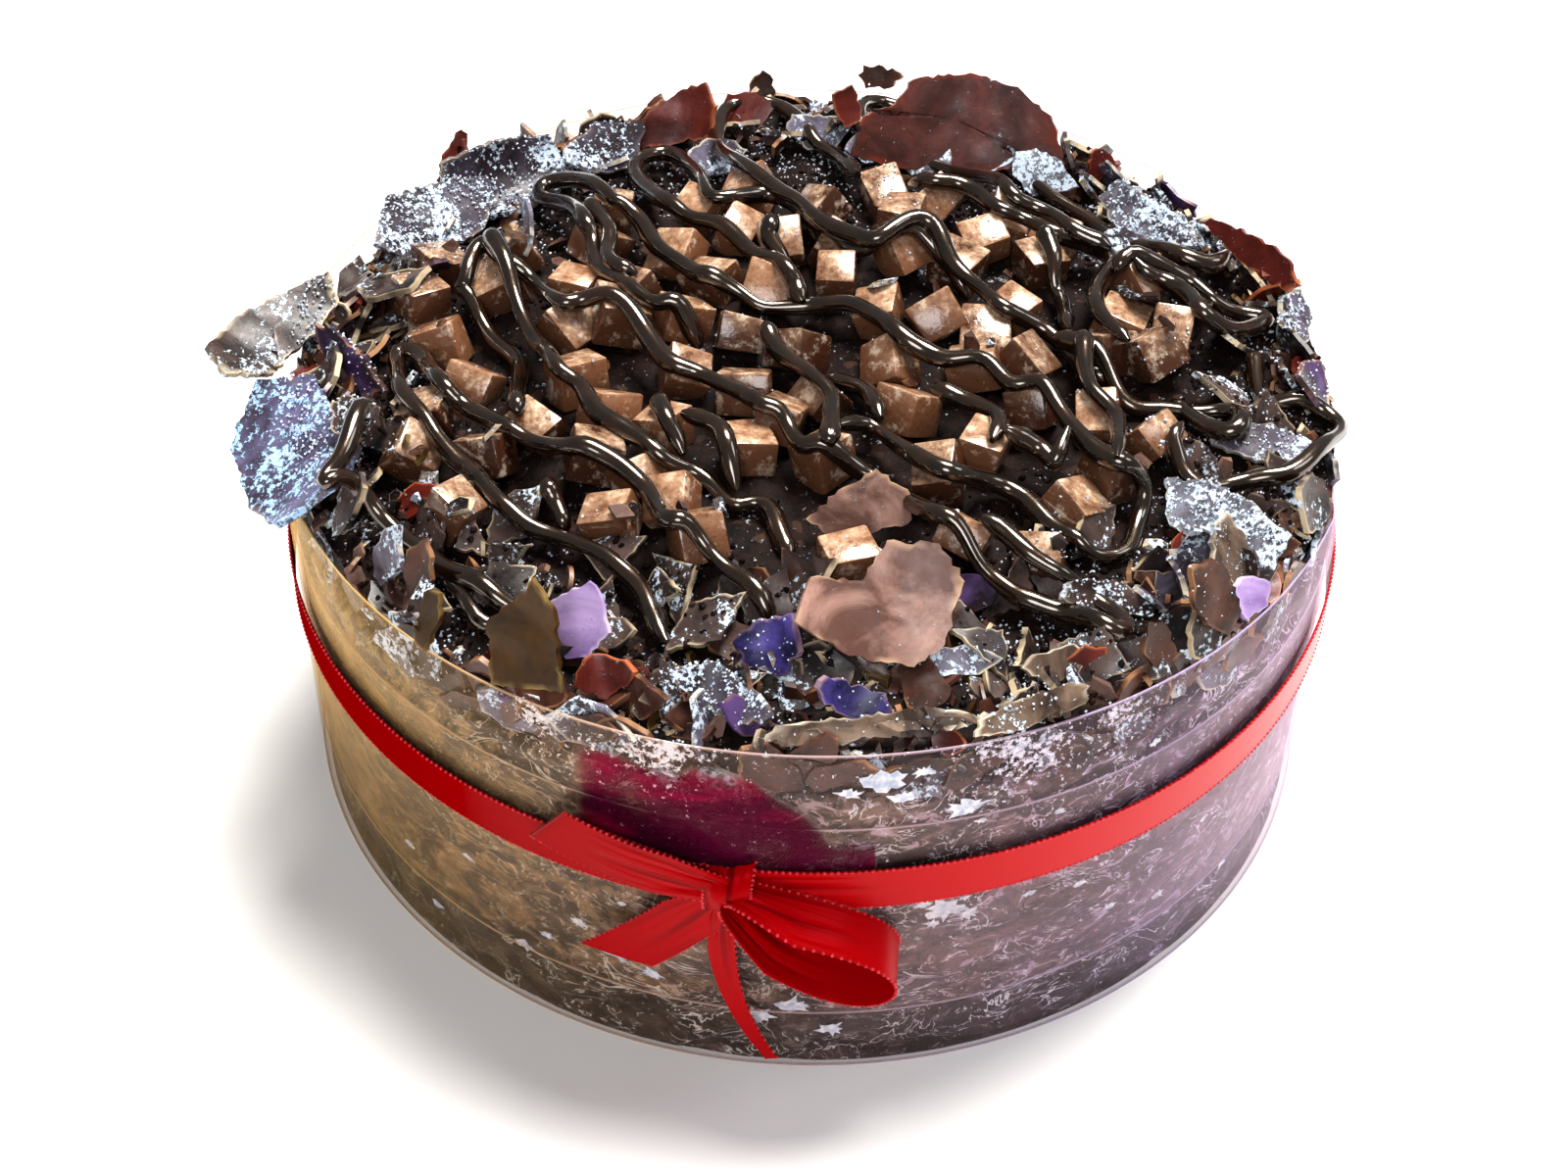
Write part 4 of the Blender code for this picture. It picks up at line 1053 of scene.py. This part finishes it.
def scatter_flakes(under, strands, count, seed, low, high, inner):
    """Flakes strewn over the heap, most of them towards its rim, clear of the drizzle."""
    rng = random.Random(seed)
    heap = heap_shape("tone", "rim")
    made = 0
    while made < count:
        angle = rng.uniform(0, math.tau)
        front = max(-math.sin(angle), 0)
        reach = HEAP_RADIUS * (1 - abs(rng.gauss(0, 0.1 + 0.1 * front)))
        if rng.random() < inner:
            reach = HEAP_RADIUS * math.sqrt(rng.random()) * 0.9
        x, y = reach * math.cos(angle), reach * math.sin(angle)
        length = rng.uniform(low, high)
        ground = top_at(under, x, y)
        if ground is None or strands.find_range(Vector((x, y, 0)), length * 0.35 + 2.4):
            made += 0.2
            continue
        made += 1
        tilt = rng.uniform(8, 82)
        lift = ground + length * 0.22 * math.sin(math.radians(tilt))
        pose = posed((x, y, lift), ("Z", angle + math.pi / 2 + rng.gauss(0, 0.9)),
                     ("X", math.radians(tilt)), ("Z", rng.uniform(0, math.tau)))
        if length > 6:
            bm = broken_plate(length, rng)
        else:
            bm = small_flake((length, length * rng.uniform(0.4, 0.8), rng.uniform(0.5, 1.0)), rng)
        move(bm, pose)
        if max(math.hypot(vert.co.x, vert.co.y) for vert in bm.verts) > CAKE_RADIUS:
            bm.free()
            continue
        pour_in(heap, bm, rng.random())
    return heap


def pressed_flakes(count, seed):
    """Flakes that stand against the film all round the edge of the heap."""
    rng = random.Random(seed)
    heap = heap_shape("tone", "rim")
    for i in range(count):
        angle = math.tau * (i + rng.uniform(-0.4, 0.4)) / count
        reach = rng.uniform(96.4, 97.8)
        place = Vector((reach * math.cos(angle), reach * math.sin(angle), rng.uniform(67, 76)))
        pose = posed(place, ("Z", angle + math.pi / 2 + rng.uniform(-0.12, 0.12)),
                     ("X", math.radians(rng.uniform(76, 94))), ("Z", rng.uniform(-0.7, 0.7)))
        bm = broken_plate(rng.uniform(7, 17), rng)
        move(bm, pose)
        keep_inside(bm, CAKE_RADIUS + 0.1)
        if min(vert.co.z for vert in bm.verts) < STRIP_TOP - 2:
            bm.free()
            continue
        pour_in(heap, bm, rng.random())
    return heap


def strew(places, low, high, seed, blocky=False):
    """Small uneven lumps at these places, round or blocky."""
    rng = random.Random(seed)
    heap = heap_shape("tone")
    for place in places:
        bm = bmesh.new()
        if blocky:
            bmesh.ops.create_cube(bm, size=0.8)
        else:
            bmesh.ops.create_icosphere(bm, subdivisions=1, radius=0.5)
        size = rng.uniform(low, high)
        pose = posed(place, ((1, 0.3, 0.2), rng.uniform(0, 3)), ("Z", rng.uniform(0, 3)))
        pose @= Matrix.Diagonal((size, size * rng.uniform(0.6, 1), size * rng.uniform(0.4, 0.9), 1))
        for vert in bm.verts:
            vert.co *= rng.uniform(0.7, 1.2)
        move(bm, pose)
        pour_in(heap, bm, rng.random())
    return heap


def crumb_places(under, above, count, seed):
    """Places on top of the heap for loose crumbs, most of them towards the rim."""
    rng = random.Random(seed)
    places = []
    while len(places) < count:
        angle = rng.uniform(0, math.tau)
        reach = (HEAP_RADIUS + 1) * (1 - abs(rng.gauss(0, 0.22)))
        if reach < 0:
            continue
        x, y = reach * math.cos(angle), reach * math.sin(angle)
        ground = top_at(under, x, y)
        if ground is not None and top_at(above, x, y) is None:
            places.append(Vector((x, y, ground + 0.25)))
    return places


def sugar_places(under, clean, seed):
    """Places on top of the heap for grains of icing sugar, crowded into the drifts."""
    rng = random.Random(seed)
    places = []
    for seen, reach, count in DRIFTS:
        centre = heap_place(seen, 4)
        for _ in range(count):
            x = centre.x + rng.gauss(0, reach / 2)
            y = centre.y + rng.gauss(0, reach / 2)
            ground = top_at(under, x, y)
            if ground is None or math.hypot(x, y) > CAKE_RADIUS or top_at(clean, x, y) is not None:
                continue
            places.append(Vector((x, y, ground + 0.1)))
    return places


def smooth_route(points, step):
    """Points a step apart along a smooth curve through given ones, with a seeded sway."""
    rng = random.Random(len(points) * 31 + int(points[0][0]))
    sway = [rng.uniform(0, 9) for _ in range(2)]
    ends = [points[0], *points, points[-1]]
    fine = []
    for a, b, c, d in zip(ends, ends[1:], ends[2:], ends[3:]):
        for i in range(12):
            t = i / 12
            fine.append(Vector([0.5 * (2 * q + (r - p) * t + (2 * p - 5 * q + 4 * r - s) * t * t
                                       + (3 * q - p - 3 * r + s) * t ** 3)
                                for p, q, r, s in zip(a, b, c, d)]))
    fine.append(Vector(points[-1]))
    route, travel, due = [], 0.0, 0.0
    for here, ahead in zip(fine, fine[1:]):
        leg = (ahead - here).length
        while leg and due <= travel + leg:
            spot = here.lerp(ahead, (due - travel) / leg)
            side = Vector((here.y - ahead.y, ahead.x - here.x)).normalized()
            route.append(spot + side * 0.6 * math.sin(due / 3.4 + sway[0])
                         * math.sin(due / 9.1 + sway[1]))
            due += step
        travel += leg
    return route


def drape(route, under, laid):
    """Lay a route over what is under it and over earlier strands, slack across the gaps."""
    radius = DRIZZLE_WIDTH / 2
    heights = [SEEN_LEVEL] * len(route)
    for _ in range(3):
        places = [seen_to_real(seen, height) for seen, height in zip(route, heights)]
        rests = []
        for place in places:
            tops = [top_at(under, place.x + dx, place.y + dy) or HEAP_EDGE
                    for dx, dy in ((0, 0), (radius * 0.7, 0), (-radius * 0.7, 0),
                                   (0, radius * 0.7), (0, -radius * 0.7))]
            rest = max(tops[0], max(tops) - radius * 0.5) + radius * 0.72
            for other in laid:
                if (other.xy - place.xy).length < radius * 1.5:
                    rest = max(rest, other.z + radius * 0.95)
            rests.append(rest)
        line = list(rests)
        for _ in range(40):
            middle = [max(rest, (a + b) / 2 - 0.07)
                      for rest, a, b in zip(rests[1:-1], line, line[2:])]
            line = [line[0]] + middle + [line[-1]]
        for _ in range(2):
            middle = [(a + 2 * b + c) / 4 for a, b, c in zip(line, line[1:], line[2:])]
            line = [line[0]] + middle + [line[-1]]
        heights = line
    return [Vector((place.x, place.y, height)) for place, height in zip(places, heights)]


def make_drizzle(under):
    """All the strands, each laid over the ones before it, and their centre points."""
    drizzle = bmesh.new()
    laid = []
    rng = random.Random(77)
    for points in DRIZZLE:
        line = drape(smooth_route(points, ROUTE_STEP), under, laid)
        laid += line
        curve = bpy.data.curves.new("strand", "CURVE")
        curve.dimensions = "3D"
        curve.bevel_depth = DRIZZLE_WIDTH / 2
        curve.bevel_resolution = 4
        curve.use_fill_caps = True
        spline = curve.splines.new("POLY")
        spline.points.add(len(line) - 1)
        phase = rng.uniform(0, 9)
        last = len(line) - 1
        for i, (point, place) in enumerate(zip(spline.points, line)):
            point.co = (*place, 1)
            end = min(i, last - i)
            round_off = (0.35, 0.85, 1.05)[end] if end < 3 else 1
            swell = math.sin(i / 3.3 + phase) * math.sin(i / 8.3 + phase)
            point.radius = round_off * (0.98 + 0.2 * swell)
        holder = bpy.data.objects.new("strand", curve)
        drizzle.from_mesh(holder.to_mesh())
        holder.to_mesh_clear()
        bpy.data.objects.remove(holder)
        bpy.data.curves.remove(curve)
    bmesh.ops.recalc_face_normals(drizzle, faces=drizzle.faces)
    strands = KDTree(len(laid))
    for i, place in enumerate(laid):
        strands.insert((place.x, place.y, 0), i)
    strands.balance()
    return drizzle, strands


def make_flecks():
    """Thin ragged flecks pressed flat behind the film."""
    rng = random.Random(8)
    heap = heap_shape("rim")
    for i, (turn, height, size) in enumerate(FLECKS):
        count = 22
        ring = []
        for k in range(count):
            x, y = math.cos(math.tau * k / count), math.sin(math.tau * k / count)
            reach = size / 2 * (0.45 + 1.21 * abs(noise.noise(Vector((x * 2.2, y * 2.2, i * 3.1)))))
            ring.append((x * reach * 1.2, y * reach * rng.uniform(0.5, 1.0)))
        bm = plate(ring, 0, 0.1, rings=2)
        angle = math.radians(turn)
        for vert in bm.verts:
            x, y, z = vert.co
            around = angle + x / CAKE_RADIUS
            reach = CAKE_RADIUS + 0.08 + z
            vert.co = (reach * math.sin(around), -reach * math.cos(around), height + y)
        bmesh.ops.recalc_face_normals(bm, faces=bm.faces)
        pour_in(heap, bm)
    return heap


def wall_point(along, height, off):
    """A place beside the collar: along its wall from the knot, up, and off the wall."""
    angle = math.radians(BOW_ANGLE) + along / COLLAR_RADIUS
    reach = COLLAR_RADIUS + GAP + off
    return Vector((reach * math.sin(angle), -reach * math.cos(angle), height))


def satin_sheet(satin, picots, columns, path, thickness, lay):
    """A sheet of satin laid point by point along a path, with picots down both edges.

    The lay gives a point's length along, place across and real place from its edge, which
    runs from -1 to 1 over the width, and its step on the path.
    """
    bm = heap_shape("along", "across")
    along, across = (bm.verts.layers.float.get(name) for name in ("along", "across"))
    last = len(path) - 1
    bmesh.ops.create_grid(bm, x_segments=columns, y_segments=last, size=1)
    edges = []
    for vert in bm.verts:
        edge = vert.co.x
        vert[along], vert[across], vert.co = lay(edge, *path[round((vert.co.y + 1) / 2 * last)])
        if abs(abs(edge) - 1) < 0.01:
            edges.append(vert.co.copy())
    thicken(bm, thickness)
    pour_in(satin, bm)
    for spot in edges:
        add_picot(picots, spot)


def ribbon_strip(satin, picots, path, width, heading, slant=0.0, taper=1.0, stand=0.0):
    """A flat strip along a path of (run, side, off) points, headed one way along the wall.

    The strip is gathered at the knot, narrows to taper times its width, has its far end
    cut at a slant and stands off the wall on one edge by an angle.
    """
    lean, turn = math.radians(stand), math.radians(heading)
    ahead = Vector((math.cos(turn), math.sin(turn)))
    sideways = Vector((-ahead.y, ahead.x))
    reach = max(run for run, _, _ in path)
    travel = [0.0]
    for here, there in zip(path, path[1:]):
        travel.append(travel[-1] + math.dist(here, there))

    def lay(edge, gone, run, side, off):
        share = run / reach
        gathered = GATHER + (1 - GATHER) * min(share / GATHER_REACH, 1)
        half = width / 2 * gathered * (1 + (taper - 1) * share)
        flat = ahead * (run + slant * share * edge)
        flat += sideways * (side + edge * half * math.cos(lean))
        crease = max(0.0, 1 - share / (GATHER_REACH * 1.5))
        off += edge * half * math.sin(lean) + 0.6 * crease * math.sin(edge * 7.5 + 1.0)
        return gone, edge * width / 2, wall_point(flat.x, RIBBON_HEIGHT + flat.y, off)

    path = [(gone, *spot) for gone, spot in zip(travel, path)]
    satin_sheet(satin, picots, 10, path, RIBBON_THICKNESS * 0.6, lay)


def add_picot(picots, spot):
    """One tiny loop of thread at the ribbon's edge, as a bead."""
    bmesh.ops.create_icosphere(picots, subdivisions=1, radius=PICOT_RADIUS,
                               matrix=Matrix.Translation(spot))


def flat_loop_path(length, lift, steps=26):
    """Out along the front layer of a pressed loop, round its end and back behind it."""
    start, rear = KNOT_DEPTH * 0.62, 1.2
    path = [(length * i / steps, -1.3, start + lift * math.sin(2.3 * i / steps))
            for i in range(steps + 1)]
    tip = path[-1][2]
    for i in range(1, 6):
        turn = math.pi * i / 6
        path.append((length + 1.6 * math.sin(turn), -1.3 + 2.3 * i / 6,
                     tip + (rear + tip * 0.25 - tip) * (1 - math.cos(turn)) / 2))
    for i in range(steps, -1, -1):
        share = i / steps
        path.append((length * share, 1.0, rear + tip * 0.25 * share * share))
    return path


def open_loop_path(length, opening, steps=64):
    """Round an open drop-shaped loop that stands out from the wall."""
    path = []
    for i in range(steps + 1):
        turn = math.tau * i / steps
        share = (1 - math.cos(turn)) / 2
        side = opening / 2 * math.sin(turn) * (0.35 + 0.65 * share) + math.cos(turn / 2)
        path.append((length * share, side, 2.4 + 2.7 * min(share / GATHER_REACH, 1)))
    return path


def tail_path(length, sway, lift, steps=28):
    """A tail that leaves the knot, sways to one side and lifts off the wall at its end."""
    path = []
    for i in range(steps + 1):
        share = i / steps
        path.append((length * share, sway * 4 * share * (1 - share), 1.2 + lift * share * share))
    return path


def make_knot(satin, picots, steps=16):
    """The wrap from below to above over the middle of the bow, creased along its length."""
    path = [(KNOT_REACH * (2 * i / steps - 1), 0.9 + 3.4 * math.sin(math.pi * i / steps) ** 0.7)
            for i in range(steps + 1)]

    def lay(edge, up, off):
        half = 3.9 + 0.5 * (up / KNOT_REACH) ** 2
        crease = 0.35 * math.sin(edge * 8 + up * 0.3) * (1 - abs(edge)) - 0.9 * edge * edge
        spot = wall_point(edge * half, RIBBON_HEIGHT + up + 0.22 * edge * half, off + crease)
        return up + KNOT_REACH, edge * 4, spot

    satin_sheet(satin, picots, 14, path, 0.35, lay)


def band_sway(run):
    """How far the band rises or dips at a place on its way round."""
    return 0.18 * math.sin(run / 37) + 0.12 * math.sin(run / 17)


def make_band(picots):
    """The ribbon round the collar, with its picot edges."""
    outer = COLLAR_RADIUS + GAP + RIBBON_THICKNESS
    bottom = RIBBON_HEIGHT - RIBBON_WIDTH / 2
    band = sleeve(outer, RIBBON_THICKNESS * 0.8, bottom, bottom + RIBBON_WIDTH, rows=7)
    along, across = (band.verts.layers.float.new(name) for name in ("along", "across"))
    for vert in band.verts:
        vert[along] = math.atan2(vert.co.x, -vert.co.y) * outer
        vert[across] = vert.co.z - RIBBON_HEIGHT
        vert.co.z += band_sway(vert[along])
    count = round(math.tau * outer / PICOT_SPACING)
    for i in range(count):
        angle = math.tau * i / count
        run = (angle if angle < math.pi else angle - math.tau) * outer
        for edge in (bottom, bottom + RIBBON_WIDTH):
            add_picot(picots, ((outer - 0.1) * math.sin(angle), (0.1 - outer) * math.cos(angle),
                               edge + band_sway(run)))
    return band


def make_bow(picots):
    """The knot, two loops and two tails."""
    satin = heap_shape("along", "across")
    wide = RIBBON_WIDTH + 1
    ribbon_strip(satin, picots, flat_loop_path(30, 1.5), wide, 167, slant=2.2)
    ribbon_strip(satin, picots, open_loop_path(32, 13), RIBBON_WIDTH, -31, stand=112)
    ribbon_strip(satin, picots, tail_path(29, 0.6, 1.2), wide, -132, slant=-4.0)
    ribbon_strip(satin, picots, tail_path(43, -4.2, 1.6), RIBBON_WIDTH * 0.7, -80, taper=0.3)
    make_knot(satin, picots)
    return satin


def build_pieces():
    """Every piece of the cake, from the inside out."""
    broken, milk, coat, film, red = ("broken_chocolate", "milk_chocolate", "chocolate_coat",
                                     "clear_film", "red_satin")
    shard_trees = [node_tree(name) for name in SHARDS]
    core = plain_core()
    core_tree = tree_of(core)
    core.free()

    piece("cake_body", make_cake(), coat_finish(), coat, "cake", sharp=60)
    crumb = crumb_finish("crumbled_chocolate", "0d0605", "2c1a14", "5a4032")
    core = make_core()
    fine_core = tree_of(core)
    topping("heap_core", core, crumb, milk, sharp=80)

    cubes, cube_trees = make_cubes(shard_trees)
    topping("chocolate_cubes", cubes, milk_cube_finish(), milk, sharp=35)
    flakes, flake_trees = make_flakes(shard_trees)
    topping("rim_flakes", flakes, FINISHES["dusted"], broken)
    for seed, name in enumerate(SHARDS):
        piece(name + "_plate", make_shard(seed, name), FINISHES[SHARDS[name][-1]], broken, name,
              sharp=35)

    low_shards = [tree for tree, shard in zip(shard_trees, SHARDS.values()) if shard[4] < 45]
    drizzle, strands = make_drizzle([core_tree, *cube_trees, *flake_trees, *low_shards])
    topping("ganache_drizzle", drizzle, ganache_finish(), milk, sharp=180)

    under = [fine_core, *cube_trees]
    for name, finish, count, low, high, inner in STREWN:
        flakes = scatter_flakes(under, strands, count, len(name), low, high, inner)
        topping(name, flakes, FINISHES[finish], broken)
    for finish in sorted({row[-1] for row in SMALL_PLATES}):
        topping("small_plates_" + finish, small_plates(finish), FINISHES[finish], broken)
    for name, finish, count, seed in PRESSED:
        topping(name, pressed_flakes(count, seed), FINISHES[finish], broken)
    under += flake_trees
    crumbs = crumb_places([fine_core, *flake_trees], cube_trees + shard_trees, CRUMB_COUNT, 41)
    topping("loose_crumbs", strew(crumbs, 0.7, 2.2, 42), crumb, milk, sharp=60)
    clean = [tree for tree, shard in zip(shard_trees, SHARDS.values()) if shard[-1] in CLEAN]
    sugar = strew(sugar_places(under + shard_trees, clean, 43), 0.25, 0.6, 44, blocky=True)
    topping("icing_sugar", sugar, sugar_finish("sifted_icing_sugar", "f2f5fa"), broken, sharp=60)
    piece("pale_flecks", make_flecks(), sugar_finish("smeared_icing", "fbfaff"), coat, "cake")

    strip = sleeve(STRIP_RADIUS, STRIP_WALL, STRIP_BOTTOM, STRIP_TOP)
    inner = film_finish("inner_clear_film", STRIP_BOTTOM, STRIP_TOP, 0.0, 0.0)
    piece("strip_film", strip, inner, film, "inner_strip")
    collar = sleeve(COLLAR_RADIUS, COLLAR_WALL, 0, COLLAR_HEIGHT)
    outer = film_finish("outer_clear_film", 0, COLLAR_HEIGHT, 0.72, 0.66)
    piece("collar_film", collar, outer, film, "film_collar")

    satin = satin_finish()
    picots = bmesh.new()
    piece("ribbon_band", make_band(picots), satin, red, "ribbon")
    piece("ribbon_bow", make_bow(picots), satin, red, "ribbon", sharp=50)
    piece("picot_edges", picots, picot_finish(), red, "ribbon", sharp=180)


def make_floor():
    """The board that the cake stands on."""
    bm = bmesh.new()
    bmesh.ops.create_grid(bm, x_segments=1, y_segments=1, size=3.0)
    mesh = bpy.data.meshes.new("floor")
    bm.to_mesh(mesh)
    bm.free()
    mesh.materials.append(floor_finish())
    put_in("floor", mesh)


def add_sun(name, aim, strength, spread_out, colour):
    """A distant soft light that shines down from this direction."""
    lamp = bpy.data.lights.new(name, "SUN")
    lamp.energy, lamp.angle, lamp.color = strength, spread_out, colour
    obj = put_in(name, lamp)
    obj.rotation_mode = "QUATERNION"
    obj.rotation_quaternion = (-Vector(aim)).to_track_quat("-Z", "Y")


def light_the_cake():
    """The suns, a pale sky and the way the picture is shown."""
    for sun in SUNS:
        add_sun(*sun)
    world = bpy.data.worlds.new("pale_sky")
    bpy.context.scene.world = world
    world.use_nodes = True
    sky = world.node_tree.nodes["Background"]
    sky.inputs["Color"].default_value = (1, 1, 1, 1)
    sky.inputs["Strength"].default_value = SKY_STRENGTH
    view = bpy.context.scene.view_settings
    view.view_transform, view.exposure, view.gamma = "Standard", EXPOSURE, GAMMA


def aim_camera():
    """The camera at the photograph's angle, a little rolled."""
    right = Vector((1, 0, 0))
    up = Vector((0, math.sin(CAMERA_PITCH), math.cos(CAMERA_PITCH)))
    back = Vector((0, -math.cos(CAMERA_PITCH), math.sin(CAMERA_PITCH)))
    across = right * math.cos(CAMERA_ROLL) + up * math.sin(CAMERA_ROLL)
    upward = up * math.cos(CAMERA_ROLL) - right * math.sin(CAMERA_ROLL)
    matrix = Matrix((across, upward, back)).transposed().to_4x4()
    matrix.translation = back * CAMERA_BACK + right * CAMERA_RIGHT + up * CAMERA_UP
    camera = bpy.data.cameras.new("camera")
    camera.lens, camera.sensor_width = CAMERA_LENS, 36
    obj = put_in("camera", camera)
    obj.matrix_world = matrix
    bpy.context.scene.camera = obj


build_pieces()
make_floor()
light_the_cake()
aim_camera()
